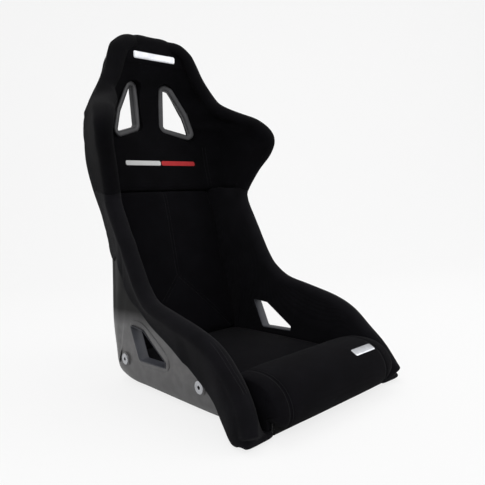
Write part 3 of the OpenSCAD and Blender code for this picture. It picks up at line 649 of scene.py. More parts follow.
zinc = metal_finish("zinc_plate", (0.52, 0.53, 0.55), 0.28, 60.0)
insert_steel = metal_finish("insert_steel", (0.62, 0.63, 0.66), 0.16, 90.0)
for node in ("mount_plate_left", "mount_plate_right"):
    plate = bpy.data.objects[node]
    plate.data.materials.clear()
    plate.data.materials.append(zinc)
bpy.data.objects["mount_inserts"].data.materials.clear()
bpy.data.objects["mount_inserts"].data.materials.append(insert_steel)

# THE UPPER COVER
# Foam under black knit over the head, the wings and the upper back, sewn as one cover. It rolls
# over the bare edge of the shell, and its hem is glued down on the outside.
HIP_PADDING = 14.0
# Cover's end outside the shell and its thickness there, middle depth, side padding, corner breadth.
PADDING = np.array([
    (1, 32, 60, HIP_PADDING, 40), (1, 30, 60, HIP_PADDING, 40), (1.75, 22, 60, HIP_PADDING, 40),
    (2.02, 12, 60, HIP_PADDING, 40), (2.3, 9, 60, HIP_PADDING, 40), (2.6, 8, 60, HIP_PADDING, 40),
    (2.75, 7, 60, HIP_PADDING, 40), (2.76, 7, 60, HIP_PADDING, 40), (2.72, 7, 66, HIP_PADDING + 2, 40),
    (2.7, 6, 70, HIP_PADDING + 9, 40), (2.68, 6, 70, HIP_PADDING + 14, 40),
    (2.66, 5, 68, HIP_PADDING + 14, 40), (2.6, 5, 58, HIP_PADDING + 12, 40),
    (2.42, 4, 50, HIP_PADDING + 2, 40), (1.7, 4, 48, HIP_PADDING - 4, 40),
    (0.95, 4, 45, HIP_PADDING + 4, 40), (0.85, 4, 44, HIP_PADDING + 21, 45),
    (0.85, 4, 42, HIP_PADDING, 45), (0.9, 4, 40, HIP_PADDING, 50), (0.98, 4, 36, HIP_PADDING, 60),
    (1.25, 4, 25, HIP_PADDING, 100), (1.5, 4, 17, HIP_PADDING, 150), (1.56, 4, 16, HIP_PADDING, 124),
    (1.54, 4, 18, HIP_PADDING, 96), (1.5, 4, 34, HIP_PADDING, 60), (1.5, 4, 51, HIP_PADDING, 36),
    (1.5, 4, 47, HIP_PADDING, 36), (1.5, 4, 34, HIP_PADDING, 24), (1.5, 4, 24, HIP_PADDING, 10)])
FACE_END = 26.0
CROWN_END = 26.5
ROLL_STEPS = 14
HEM_SHARES = np.array([0.08, 0.2, 0.33, 0.45, 0.55, 0.64, 0.73, 0.82, 0.88, 0.93, 0.97, 1.0])


def edge_out(s, _kept={}):
    key = round(s, 5)
    if key not in _kept:
        e = 0.03
        _kept[key] = unit(np.cross(shell_face(s + e, 3) - shell_face(s - e, 3), facing(s, 3)))
    return _kept[key]


def top_out(u):
    return unit(np.cross(facing(LAST, u), [1, 0, 0]))


def corner_out():
    return unit(edge_out(LAST) + top_out(3))


def side_out(s):
    return corner_out() if s == LAST else edge_out(s)


def round_edge(s, u, out, angle, radius):
    turn = math.radians(angle)
    return (shell_face(s, u) + facing(s, u) * (CREST + radius * math.cos(turn))
            + out * radius * math.sin(turn))


def roll_from(s):
    return 50 * max(0, s - 24) / (LAST - 24)


def roll_to(s):
    return 180 - 60 * max(0, 1 - s / 1.5)


def behind_edge(s, u, out, k):
    n = facing(s, u)
    c, h = shell_face(s, u) + n * CREST, CREST + GAP
    return (c + n * h, c + n * h + out * 1.2, c + out * 1.8, c - n * h + out * 1.2, c - n * (h + 0.5))[k]


def along_points(points, share):
    """The point at a share of the number of steps of a short chain."""
    place_at = share * (len(points) - 1)
    k = min(int(place_at), len(points) - 2)
    return points[k] * (1 - place_at + k) + points[k + 1] * (place_at - k)


def cover_point(s, u, end_s, end_u, f, lift):
    a, b = s + (end_s - s) * f, u + (end_u - u) * f
    return shell_face(a, b) - facing(a, b) * lift


def cover_lift(s, f):
    end = row_of(PADDING, s)[1]
    return end + (ROLL - CREST - end) * (1 - f) ** 2.1


def outer_chain(s, u, out, end_s, end_u):
    first, last_angle = roll_from(s), roll_to(s)
    chain = [round_edge(s, u, out, first + (last_angle - first) * k / ROLL_STEPS, ROLL)
             for k in range(1, ROLL_STEPS + 1)]
    for f in HEM_SHARES:
        tuck = 1.2 * max(0, (f - 0.95) / 0.05)
        chain.append(cover_point(s, u, end_s, end_u, f, cover_lift(s, f) + GAP - tuck))
    return chain


def inner_chain(s, u, out, end_s, end_u):
    bare = [behind_edge(s, u, out, k) for k in range(5)]
    chain = [along_points(bare, k / ROLL_STEPS) for k in range(1, ROLL_STEPS + 1)]
    return chain + [cover_point(s, u, end_s, end_u, f, 1.9 if u + (end_u - u) * f < 2 else 0.9)
                    for f in HEM_SHARES]


def upper_start(s, out):
    return round_edge(s, 3, out, roll_from(s), ROLL)


def upper_face(s, u, out):
    w, p = station(s)[1], row_of(PADDING, s)
    top = w[3] + station(s)[4]
    wall_x = min(w[0], w[1]) - ROLL - CREST
    flat, rise = wall_x - p[4], min(p[4], 0.8 * max(0, top - p[2]))
    turn = math.pi / 2 * (u - 1)
    if u <= 1:
        x, v = flat * u, p[2]
    elif u <= 2:
        x, v = flat + p[4] * math.sin(turn), p[2] + rise * (1 - math.cos(turn))
    else:
        x = wall_x + (w[1] - ROLL - CREST - wall_x) * (u - 2)
        v = p[2] + rise + (top - p[2] - rise) * (u - 2)
    miss = upper_start(s, out) - place(s, w[1] - ROLL - CREST, top)
    return place(s, x, v) + miss * (u / 3) ** 3


def top_point(u):
    return round_edge(LAST, u, corner_out() if u == 3 else top_out(u), roll_from(LAST), ROLL)


def crown_face(s, u, out):
    f, foot = (s - FACE_END) / (LAST - FACE_END), edge_out(FACE_END)
    straight = upper_face(FACE_END, u, foot) * (1 - f) + top_point(u) * f
    corner = upper_face(FACE_END, 3, foot) * (1 - f) + top_point(3) * f
    return straight + (upper_start(s, out) - corner) * (u / 3) ** 3


def cover_face(s, u):
    out = side_out(s)
    if s == LAST:
        return top_point(u)
    return upper_face(s, u, out) if s <= FACE_END else crown_face(s, u, out)


def end_row(s):
    return s - (s - WAIST) * 1.5 / (LAST - WAIST)


def mirrored(points):
    flip = np.array([-1, 1, 1])
    return [p * flip for p in points[:0:-1]] + points


def groove(distance, width, depth):
    return depth * math.exp(-(distance / width) ** 2)


FACE_COLUMNS = np.concatenate([np.arange(0, 1, 0.09), np.arange(1, 2, 0.075), np.arange(2, 3.001, 0.1)])
FACE_COLUMNS[-1] = 3.0


def build_upper_cover():
    rows = [WAIST + 0.012] + list(np.arange(WAIST + 0.12, 25.95, 0.12)) + list(np.arange(26, 28.01, 0.125))
    rows[-1] = LAST
    front, back = [], []
    for s in rows:
        out, end = side_out(s), row_of(PADDING, s)[0]
        face = []
        for u in FACE_COLUMNS:
            p = cover_face(s, u)
            # A sewn line runs up each side of the chest, and the face draws in a little at it.
            fade = min(1, max(0, (590 - p[2]) / 60)) if p[2] > 462 else 0
            dip = groove(abs(p[0]) - 155, 3.5, 1.8 * fade) if u < 2.6 else 0
            # The lower edge turns in over the fold above the lower back cushion.
            dip += 5 * math.exp(-((s - WAIST) / 0.1) ** 2) if u < 2.9 else 0
            face.append(p - facing(s, u) * dip)
        front.append(mirrored(face + outer_chain(s, 3, out, end_row(s), end)))
        back.append(mirrored([shell_face(s, u) + facing(s, u) * (WALL + GAP) for u in FACE_COLUMNS]
                             + inner_chain(s, 3, out, end_row(s), end)))
    count_rows, cols = len(front), len(front[0])
    count = count_rows * cols
    points = [p for row in front for p in row] + [p for row in back for p in row]
    faces = grid_faces(count_rows, cols) + grid_faces(count_rows, cols, count, True)
    faces += [(j, count + j, count + j + 1, j + 1) for j in range(cols - 1)]
    for i in range(count_rows - 1):
        a, b = i * cols, i * cols + cols - 1
        faces += [(a, a + cols, a + cols + count, a + count), (b, b + count, b + cols + count, b + cols)]
    # The band over the crown: one chain for each column between the two corners.
    ends = row_of(PADDING, LAST)[0]
    half = [(u, corner_out() if u == 3 else top_out(u)) for u in FACE_COLUMNS]
    half_out = [[top_point(u)] + outer_chain(LAST, u, out, CROWN_END, u * ends / 3) for u, out in half]
    half_in = [[shell_face(LAST, u) + facing(LAST, u) * (WALL + GAP)]
               + inner_chain(LAST, u, out, CROWN_END, u * ends / 3) for u, out in half]
    flip = np.array([-1, 1, 1])
    for chains, turned in ((half_out, True), (half_in, False)):
        band = [[p * flip for p in chain] for chain in chains[:0:-1]] + chains
        start = len(points)
        points += [p for chain in band for p in chain]
        faces += grid_faces(len(band), len(band[0]), start, turned)
        if turned:
            outer_start = start
        else:
            inner_start = start
    length = len(half_out[0])
    for j in range(2 * len(FACE_COLUMNS) - 2):
        a, b = (j + 1) * length - 1, (j + 2) * length - 1
        faces.append((outer_start + a, outer_start + b, inner_start + b, inner_start + a))
    cover = mesh_piece("upper_cover", [p * MM for p in points], faces)
    tidy_mesh(cover, 0.0001)
    for side in (-1, 1):
        ease(cover, (side * 160, 180, 690), 85, 16)
        ease(cover, (side * 45, 262, 868), 70, 30)
    fill_out(cover)
    return cover


# Height, and how much thicker the foam is there than the solid upper_pad, which is too slim at
# the head and shoulders. The amounts were set by trial; mend the solid to drop this table.
EXTRA_FOAM = ((591, 0), (618, 5), (645, 13), (672, 24), (683, 26), (694, 24), (705, 20), (715, 15),
              (730, 10), (748, 9), (775, 11), (800, 12), (860, 12), (885, 11))
FOAM_WAY = (0.83, 0.55)
FOAM_FULL_FROM = 60
CROWN_CORNER = (80, 258, 850)
CROWN_CORNER_SPREAD, CROWN_CORNER_RISE = 42, 6


def fill_out(cover):
    """Thickens the foam of the head outwards and back, where it rolls over the edge of the shell."""
    heights, amounts = zip(*EXTRA_FOAM)
    shape = bmesh.new()
    shape.from_mesh(cover.data)
    shape.normal_update()
    moves = []
    for v in shape.verts:
        side = 1 if v.co.x > 0 else -1
        high = v.co.z / MM
        way = Vector((side * FOAM_WAY[0], FOAM_WAY[1], 0)).normalized()
        face = max(0.0, v.normal.dot(way)) ** 0.7 * min(1, abs(v.co.x) / MM / FOAM_FULL_FROM)
        more = float(np.interp(high, heights, amounts))
        middle = Vector((side * CROWN_CORNER[0], CROWN_CORNER[1], CROWN_CORNER[2]))
        corner = (v.co / MM - middle).length / CROWN_CORNER_SPREAD
        rise = CROWN_CORNER_RISE * math.exp(-corner * corner) * max(0.0, v.normal.z)
        moves.append((v, (way * more * face + Vector((0, 0, rise))) * MM))
    for v, move in moves:
        v.co += move
    shape.to_mesh(cover.data)
    shape.free()
    for side in (-1, 1):
        ease(cover, (side * 135, 205, 715), 110, 8)


def ease(piece, middle, radius, times):
    """Evens out the faces of a cover round a place where it turns sharply, as foam does."""
    shape = bmesh.new()
    shape.from_mesh(piece.data)
    centre = Vector(middle) * MM
    near = [v for v in shape.verts if (v.co - centre).length < radius * MM]
    weight = {v: (1 - (v.co - centre).length / (radius * MM)) ** 0.5 for v in near}
    for _ in range(times):
        even = {v: sum((e.other_vert(v).co for e in v.link_edges), Vector()) / len(v.link_edges)
                for v in near}
        for v in near:
            v.co += (even[v] - v.co) * 0.5 * weight[v]
    shape.to_mesh(piece.data)
    shape.free()


def puff(piece, loose, pressure, cap, steps=16, stiff=12):
    """Blows the cover up a little as cloth; only vertices that loose() passes may move."""
    before = np.empty(len(piece.data.vertices) * 3)
    piece.data.vertices.foreach_get("co", before)
    before = before.reshape(-1, 3)
    held = piece.vertex_groups.new(name="held")
    for k, p in enumerate(before):
        held.add([k], 1.0 - loose(p / MM), "REPLACE")
    cloth = piece.modifiers.new("cloth", "CLOTH")
    settings = cloth.settings
    settings.quality = 5
    settings.mass = 0.3
    settings.tension_stiffness = stiff
    settings.compression_stiffness = stiff
    settings.shear_stiffness = 4
    settings.bending_stiffness = 0.4
    settings.use_pressure = True
    settings.uniform_pressure_force = pressure
    settings.effector_weights.gravity = 0
    settings.vertex_group_mass = "held"
    settings.pin_stiffness = 1
    cloth.collision_settings.use_collision = False
    scene = bpy.context.scene
    for number in range(1, steps + 1):
        scene.frame_set(number)
    evaluated = piece.evaluated_get(bpy.context.evaluated_depsgraph_get())
    after = np.empty(len(before) * 3)
    evaluated.data.vertices.foreach_get("co", after)
    after = after.reshape(-1, 3)
    scene.frame_set(1)
    piece.modifiers.remove(cloth)
    piece.vertex_groups.clear()
    move = np.nan_to_num(after - before)
    size = np.linalg.norm(move, axis=1, keepdims=True)
    move *= np.tanh(size / (cap * MM)) * cap * MM / np.maximum(size, 1e-9)
    piece.data.vertices.foreach_set("co", (before + move).ravel())
    piece.data.update()


def rounded_ring(outline, grow, radius=2.0, steps=5):
    """A closed outline moved outwards, with every corner rounded by a radius and the growth."""
    inset = grown(outline, -radius)
    count = len(inset)
    area = sum(a[0] * b[1] - a[1] * b[0] for a, b in zip(inset, inset[1:] + inset[:1]))
    turn = 1 if area > 0 else -1
    ring = []
    for k in range(count):
        before, after = unit(inset[k] - inset[k - 1]), unit(inset[(k + 1) % count] - inset[k])
        first = math.atan2(-turn * before[0], turn * before[1])
        sweep = (math.atan2(-turn * after[0], turn * after[1]) - first + math.pi) % (2 * math.pi) - math.pi
        for step in range(steps + 1):
            angle = first + sweep * step / steps
            ring.append(inset[k] + (radius + grow) * np.array([math.cos(angle), math.sin(angle)]))
    return ring


def cloth_finish(name, dark, light, knit=0.0009, rough=0.92, sheen=0.3):
    """Black knit: small loops in rows with painted shade between them, a faint mottle and dust, and a soft
    sheen on the fibres.
    """
    material, tree = new_finish(name)
    spot = add_node(tree, "ShaderNodeTexCoord", {}, {}, "Object")
    cells = add_node(tree, "ShaderNodeTexVoronoi", {"feature": "F1"},
                     {"Vector": spot, "Scale": 1.0 / knit, "Randomness": 0.35})
    fuzz = add_node(tree, "ShaderNodeTexNoise", {}, {"Vector": spot, "Scale": 2600.0, "Detail": 2.0})
    cloud = add_node(tree, "ShaderNodeTexNoise", {}, {"Vector": spot, "Scale": 22.0, "Detail": 6.0})
    tone = add_node(tree, "ShaderNodeValToRGB",
                    {"stops": [(0.32, dark + (1,)), (0.7, light + (1,))]}, {0: cloud * 0.75 + fuzz * 0.25})
    # Painted shade: the colour drops to under half between the loops, where the bump sinks.
    loop_shade = add_node(tree, "ShaderNodeValToRGB",
                   {"stops": [(0.25, (1, 1, 1, 1)), (0.8, (0.45, 0.45, 0.45, 1))]}, {0: cells})
    colour = add_node(tree, "ShaderNodeMix", {"data_type": "RGBA", "blend_type": "MULTIPLY"},
                      {0: 1.0, "A": tone, "B": loop_shade}, 2)
    height = 1.0 - cells + fuzz * 0.3
    bump = add_node(tree, "ShaderNodeBump", {}, {"Strength": 0.55, "Distance": 0.0005, "Height": height})
    surface = add_node(tree, "ShaderNodeBsdfPrincipled", {},
                       {"Base Color": colour, "Roughness": fuzz * 0.08 + rough, "Normal": bump,
                        "Specular IOR Level": 0.07, "Sheen Weight": sheen, "Sheen Roughness": 0.4})
    tree.links.new(surface.socket, tree.nodes["Material Output"].inputs[0])
    return material


cover_knit = cloth_finish("cover_knit", (0.0024, 0.0023, 0.003), (0.0048, 0.0046, 0.006), sheen=0.01)
upper_cover = build_upper_cover()


harness_knives = []
for side in (-1, 1):
    setting = harness_setting(side)
    harness_knives.append(prism("cover_knife", rounded_ring(HARNESS_OUTLINE, SLEEVE + GAP), -90, 60, setting))
    harness_knives.append(prism("cover_knife", rounded_ring(HARNESS_OUTLINE, 15 + GAP), -4 - GAP, 60,
                                setting))
cut_away(upper_cover, harness_knives)
smooth_below(upper_cover, 50)
upper_cover.data.materials.append(cover_knit)
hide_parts("upper_pad")
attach(upper_cover, "root")

# THE SIDE BOLSTERS
# Edge rolls of foam from the waist to the front lip, under the same black knit, whose base is made
# lighter here as painted light. Inside they pad the hip wall; outside the cover runs low at the front
# as a skirt that is glued to the shell.
SKIRT = np.array([(HIP + 36, -318, 10, HIP + 8), (HIP + 38, -288, 7, HIP + 5), (HIP + 28, -252, 28, HIP + 3),
                  (HIP + 18, -214, 58, HIP + 3), (HIP + 10, -160, 84, HIP + 3), (HIP + 8, -80, 129, HIP + 3)])
LOOSE_GAP = 1.5
CROSS_SEAM = 15.45
BOLSTER_STEPS = np.concatenate([np.arange(-1, 0, 0.12), np.arange(0, 1.001, 0.07)])
BOLSTER_STEPS[-1] = 1.0


def corner_rise(w, x):
    r, over = w[2] - WALL - LOOSE_GAP, abs(x) - (w[0] - w[2])
    return 0 if over <= 0 else r - r * math.sqrt(max(0, 1 - min(over / r, 1) ** 2))


def bolster_edge(s):
    return row_of(BREADTH, s)[0] - WALL - row_of(PADDING, s)[3]


def bolster_low(s):
    return WALL + LOOSE_GAP + corner_rise(row_of(BREADTH, s), bolster_edge(s))


def bolster_face(s, t):
    w, side = station(s)[1], station(s)[4]
    edge, low, k = bolster_edge(s), min(bolster_low(s), w[3] - 2), max(t, 0)
    x = edge + (w[1] - ROLL - CREST - edge) * k - 3 * math.sin(math.pi * k)
    miss = upper_start(s, edge_out(s)) - place(s, w[1] - ROLL - CREST, w[3] + side)
    v = low + (w[3] - low) * (1 + t) if t < 0 else w[3] + side * t
    return place(s, x, v) + miss * k * k


def bolster_column(s, share):
    w = row_of(BREADTH, s)
    over = (bolster_edge(s) - w[0] + w[2]) / w[2]
    low = 1 + math.degrees(math.asin(min(max(over, 0.05), 0.9))) / 90
    return float(np.interp(share, [0, 1 / 3, 2 / 3, 1], [low, (low + 2) / 2, 2.3, 3]))


def skirt_chain(s, start, side, tuck):
    i = min(math.floor(s), 4)
    e = blend_four(SKIRT[max(i - 1, 0)], SKIRT[i], SKIRT[i + 1], SKIRT[min(i + 2, 5)], s - i)
    chain = []
    for f in HEM_SHARES:
        x = e[side] + (start[0] - e[side]) * (1 - f) ** 2.1 - tuck * max(0, (f - 0.95) / 0.05)
        chain.append(np.array([x, start[1] + (e[1] + SHIFT - start[1]) * f,
                               start[2] + (e[2] - start[2]) * f]))
    return chain


def bolster_row(s):
    out, end = edge_out(s), row_of(PADDING, s)[0]
    chain, inside = outer_chain(s, 3, out, s, end), inner_chain(s, 3, out, s, end)
    centre = shell_face(s, 3) + facing(s, 3) * CREST
    for k in range(ROLL_STEPS):
        # The cover draws in at the double seam on the crest and at the cross seam by the waist.
        fade = min(1, max(0, (3.7 - s) / 0.5)) * min(1, max(0, (s - 0.3) / 0.4))
        dip = groove(chain[k][0] - 210, 2.6, 1.3) * fade + groove((s - CROSS_SEAM) * 60, 3, 1.5)
        chain[k] = chain[k] - unit(chain[k] - centre) * dip
    if s < 4.5:
        chain = chain[:ROLL_STEPS] + skirt_chain(s, chain[ROLL_STEPS - 1], 0, 1.2)
        inside = inside[:ROLL_STEPS] + skirt_chain(s, outer_chain(s, 3, out, s, end)[ROLL_STEPS - 1], 3, 0)
    front = [bolster_face(s, t) for t in BOLSTER_STEPS] + chain
    count = len(BOLSTER_STEPS)
    back = []
    for j in range(count):
        u = bolster_column(s, j / (count - 1))
        back.append(shell_face(s, u) + facing(s, u) * (WALL + GAP))
    return front, back + inside


TOE_STATIONS = (0.0, 0.12, 0.25, 0.4, 0.55, 0.7, 0.85, 1.0)
ROLL_START = 0.6
TOE_SOLE = ((238, -297, 7), (234, -298, 5.5), (224, -298, 5), (212, -298, 5), (200, -298, 5.5),
            (186, -298, 6), (173, -298, 6.5), (168.8, -298, 9), (168.8, -298, 13), (173, -297, 16),
            (183, -296, 17))
TOE_MIDDLE = (213, -300, 19)
TOE_WAY = (0, -0.97, -0.1)
# How far each ring of the cap lies ahead, and its size.
TOE_RINGS = ((-14, 0.92), (-6, 0.98), (0, 1.0), (2, 0.98), (3.6, 0.92), (4.6, 0.82), (5.2, 0.6), (5.4, 0.3))
TOE_GRAIN, TOE_EASING, TOE_GROWTH = 0.0016, 30, 0.0005


def build_toe(side):
    """The front end of the roll: its last sections, closed by a short rounded cap."""
    flip = np.array([side, 1, 1])
    pairs = [bolster_row(s) for s in TOE_STATIONS]
    toe = grid_piece("toe", [[p * flip for p in front] for front, back in pairs],
                     [[p * flip for p in back] for front, back in pairs])
    ring = [p.copy() for p in pairs[0][0]] + [np.array(p, float) for p in TOE_SOLE]
    middle, way = np.array(TOE_MIDDLE), np.array(TOE_WAY)
    points, faces = [], []
    for ahead, size in TOE_RINGS:
        for p in ring:
            q = (middle + (p - middle) * size + way * ahead) * flip
            points.append(q * MM)
    count, rings = len(ring), len(TOE_RINGS)
    for i in range(rings - 1):
        faces += [(i * count + j, i * count + (j + 1) % count, (i + 1) * count + (j + 1) % count,
                   (i + 1) * count + j) for j in range(count)]
    faces += [tuple(range(count)), tuple(range((rings - 1) * count, rings * count))]
    cap = mesh_piece("toe_cap", points, faces)
    tidy_mesh(cap, 0.00001)
    add_mesh(toe, cap)
    grain = toe.modifiers.new("grain", "REMESH")
    grain.mode, grain.voxel_size = "VOXEL", TOE_GRAIN
    soften = toe.modifiers.new("soften", "SMOOTH")
    soften.factor, soften.iterations = 0.5, TOE_EASING
    grow = toe.modifiers.new("grow", "DISPLACE")
    grow.strength, grow.mid_level = TOE_GROWTH, 0.0
    bake_shape(toe)
    return toe


def add_mesh(piece, other):
    """Takes the mesh of another object into this one."""
    whole = bmesh.new()
    whole.from_mesh(piece.data)
    whole.from_mesh(other.data)
    whole.to_mesh(piece.data)
    whole.free()
    bpy.data.objects.remove(other)


def build_bolster(side):
    rows = list(np.arange(ROLL_START, 3, 0.1)) + list(np.arange(3, 15.9, 0.2)) + [15.93, WAIST - 0.012]
    pairs = [bolster_row(s) for s in rows]
    for front, back in pairs:
        for line in (front, back):
            for k, p in enumerate(line):
                line[k] = np.array([p[0], p[1], max(p[2], 1.0)])
    flip = np.array([side, 1, 1])
    bolster = grid_piece("side_bolster_cover_" + ("right" if side > 0 else "left"),
                         [[p * flip for p in front] for front, back in pairs],
                         [[p * flip for p in back] for front, back in pairs])
    spot = lambda a, b, d: np.array([side * d, a, b])
    plate = [(MOUNT_YS[0] - 24, MOUNT_UP - 16), (MOUNT_YS[1] + 24, MOUNT_UP - 16),
             (MOUNT_YS[1] + 24, MOUNT_UP + 16), (MOUNT_YS[0] - 24, MOUNT_UP + 16)]
    knives = [prism("plate_knife", plate, HIP - 17, HIP - 3, spot),
              prism("lap_knife", rounded_ring(LAP_OUTLINE, SLEEVE + GAP), HIP - 60, HIP + 60,
                    lap_setting(side))]
    cut_away(bolster, knives, folded=True)
    add_mesh(bolster, build_toe(side))
    smooth_below(bolster, 50)
    return bolster


# Painted light: the same knit as the upper cover with a base about twice as light, as the rolls catch the
# lamps.
lit_bolster_knit = cloth_finish("lit_bolster_knit", (0.0056, 0.0054, 0.0068), (0.0098, 0.0094, 0.0118), sheen=0.03)
bolsters = {}
for side, node in ((-1, "side_bolster_left"), (1, "side_bolster_right")):
    bolsters[side] = build_bolster(side)
    bolsters[side].data.materials.append(lit_bolster_knit)
    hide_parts(node)
    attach(bolsters[side], "root")

# THE LOOSE CUSHIONS
# Three foam cushions in black knit that lift out: lower back, seat and thigh rest. Each is cut
# a little small, swells against its seams, and is held by hook-and-loop strips on the shell.
ACROSS = np.sin(np.linspace(-math.pi / 2, math.pi / 2, 61))
BACK_LOW, BACK_HIGH = 10.74, 15.93
EDGE_ROUND = 10.0


def shoulder(k, size):
    return size * (1 - math.sqrt(max(0, 1 - abs(k) ** 6)))


def back_half(s):
    return row_of(BREADTH, s)[0] - WALL - row_of(PADDING, s)[3] - LOOSE_GAP


def back_point(s, x, v):
    q, n = side_at(s), inward(s)
    d = unit(np.array([n[0], n[1] * min(1, (s - BACK_LOW) / 2)]))
    return np.array([x, q[0] + d[0] * v, q[1] + d[1] * v])


def back_seams(x, z):
    """Depth of the sewn lines: one up the middle that splits into two that run to the corners."""
    if z > 238:
        return groove(x, 3.5, 4)
    line = 157 * (238 - z) / 164
    return groove((abs(x) - line) * 0.72, 3.5, 3.6)


def build_back_cushion():
    shares = (np.sin(np.linspace(-math.pi / 2, math.pi / 2, 71)) + 1) / 2
    front, back = [], []
    for c in shares:
        s = BACK_LOW + (BACK_HIGH - BACK_LOW) * c
        depth, half = row_of(PADDING, s)[2], back_half(s)
        line, under = [], []
        for k in ACROSS:
            full = (depth + 5 * math.cos(math.radians(80 * k)) - 3 - shoulder(k, EDGE_ROUND)
                    - shoulder(2 * c - 1, EDGE_ROUND))
            spot = back_point(s, k * half, full)
            line.append(back_point(s, k * half, full - back_seams(spot[0], spot[2])))
            rise = corner_rise(row_of(BREADTH, s), k * half)
            under.append(back_point(s, k * half, WALL + 2.3 + rise))
        front.append(line)
        back.append(under)
    return grid_piece("lower_back_pad", front, back)


SEAT_FRONT, SEAT_REAR = -218 + SHIFT, 191 + SHIFT
SEAT_HALF = HIP - WALL - HIP_PADDING - LOOSE_GAP


def build_seat_cushion():
    shares = (np.sin(np.linspace(-math.pi / 2, math.pi / 2, 71)) + 1) / 2
    front, back = [], []
    for f in shares:
        y = SEAT_FRONT + (SEAT_REAR - SEAT_FRONT) * f
        rear, ahead = max(0, y - SHIFT - 140), max(0, (-150 - y + SHIFT) * 0.05)
        line, under = [], []
        for k in ACROSS:
            up = (69 + 7 * math.cos(math.radians(80 * k)) * math.sin(math.pi * min(f + 0.12, 1))
                  - shoulder(k, EDGE_ROUND) - shoulder(2 * f - 1, EDGE_ROUND))
            rise = corner_rise((HIP, 0, 42, 42), k * SEAT_HALF)
            low = 6.3 + max(rise, 54 - math.sqrt(54 ** 2 - min(rear, 53.9) ** 2)) + ahead
            line.append(np.array([k * SEAT_HALF, y, up]))
            under.append(np.array([k * SEAT_HALF, y, min(low, up - 2)]))
        front.append(line)
        back.append(under)
    return grid_piece("seat_pad", front, back)


FRONT_FACE = -316 + SHIFT
FRONT_REAR = SEAT_FRONT - LOOSE_GAP - 1
FRONT_NOSE = FRONT_FACE - 34
FRONT_HALF = SEAT_HALF - 2
FRONT_OUTER = [np.array(p, float) for p in (
    (FRONT_REAR, 26), (FRONT_REAR, 70), (FRONT_REAR - 4, 96), (FRONT_REAR - 14, 106),
    (FRONT_REAR - 42, 111), (FRONT_REAR - 74, 109), (FRONT_REAR - 100, 99), (FRONT_NOSE + 12, 84),
    (FRONT_NOSE + 2, 64), (FRONT_NOSE, 46), (FRONT_NOSE + 4, 31), (FRONT_NOSE + 13, 19.5))]
FRONT_INNER = [np.array(p, float) for p in (
    (FRONT_REAR - 8, 11), (FRONT_REAR - 40, 12.5), (FRONT_REAR - 70, 15), (FRONT_FACE + 12, 17),
    (FRONT_FACE + 4.3, 19), (FRONT_FACE + 4.3, 50), (FRONT_FACE + 4.3, 74.3), (FRONT_FACE + 2, 74.3),
    (FRONT_FACE - 5, 74.3), (FRONT_FACE - 5, 60), (FRONT_FACE - 5, 40), (FRONT_FACE - 5, 20))]
END_SEAM = 150.0


def smooth_chain(points, steps):
    """A chain of points with a smooth curve run through them."""
    chain, last_point = [], len(points) - 1
    for i in range(last_point):
        for step in range(steps):
            chain.append(blend_four(points[max(i - 1, 0)], points[i], points[i + 1],
                                    points[min(i + 2, last_point)], step / steps))
    return chain + [points[last_point]]


def build_front_cushion():
    ks = np.sin(np.linspace(-math.pi / 2, math.pi / 2, 97))
    outer, inner = smooth_chain(FRONT_OUTER, 5), []
    for k in range(len(outer)):
        inner.append(along_points(FRONT_INNER, k / (len(outer) - 1)))
    middle = np.array([(FRONT_REAR + FRONT_FACE) / 2, 60])
    front, back = [], []
    for k in ks:
        x = k * FRONT_HALF
        pull = shoulder(k, 12) + groove(abs(x) - END_SEAM, 3, 3.0)
        line = []
        for j, p in enumerate(outer):
            # The free lower corners of the nose are cut round.
            lift = 22 * max(0, (abs(x) - (FRONT_HALF - 34)) / 34) ** 2 * (j / (len(outer) - 1)) ** 6
            q = p - unit(p - middle) * pull
            line.append(np.array([x, min(q[0], FRONT_REAR), max(q[1], 14) + lift]))
        front.append(line)
        # The notch over the front wall closes where the wall ends, so the ends are whole.
        shut = min(1, max(0, (abs(x) - 169) / 3))
        under = []
        for j, q in enumerate(inner):
            rear = q[0] > FRONT_FACE + 1
            lift = 22 * max(0, (abs(x) - (FRONT_HALF - 34)) / 34) ** 2 * (j / (len(outer) - 1)) ** 6
            slit = FRONT_FACE + (0.2 if rear else -0.2)
            near = abs(q[0] - FRONT_FACE) < 6
            under.append(np.array([x, q[0] + (slit - q[0]) * shut if near else q[0], q[1] + lift]))
        back.append(under)
    return grid_piece("thigh_rest_pad", front, back)


def seam_hold(distance, width=9.0):
    """0 on a sewn line, rising to 1 away from it."""
    return 1 - math.exp(-(distance / width) ** 2)


def back_loose(p):
    if p[1] > 222:
        return 0.0
    line = abs(p[0]) if p[2] > 238 else abs(abs(p[0]) - 157 * (238 - p[2]) / 164)
    return seam_hold(line) * min(1, max(0, (183 - abs(p[0])) / 30))


def seat_loose(p):
    inside = min(SEAT_HALF - abs(p[0]), SEAT_REAR - p[1], p[1] - SEAT_FRONT)
    return 0.0 if p[2] < 50 else min(1, max(0, inside / 25))


def front_loose(p):
    outward = math.hypot(p[1] - (FRONT_REAR + FRONT_FACE) / 2, p[2] - 60)
    if outward < 40 or p[1] > FRONT_REAR - 3 or p[2] < 24:
        return 0.0
    return seam_hold(abs(p[0]) - END_SEAM) * min(1, max(0, (FRONT_HALF - abs(p[0])) / 12))


seat_knit = cloth_finish("seat_knit", (0.0026, 0.0024, 0.0034), (0.005, 0.0047, 0.0064), sheen=0.01)
back_pad = build_back_cushion()
seat_pad = build_seat_cushion()
thigh_pad = build_front_cushion()
puff(back_pad, back_loose, 5.0, 5.0)
puff(seat_pad, seat_loose, 5.0, 6.0)
puff(thigh_pad, front_loose, 5.0, 4.0)
for pad, node, fill in ((back_pad, "lower_back_cushion", 0.75), (seat_pad, "seat_cushion", 0.7),
                        (thigh_pad, "front_cushion", 0.8)):
    smooth_below(pad, 60)
    pad.data.materials.append(seat_knit)
    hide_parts(node)
    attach(pad, "root")

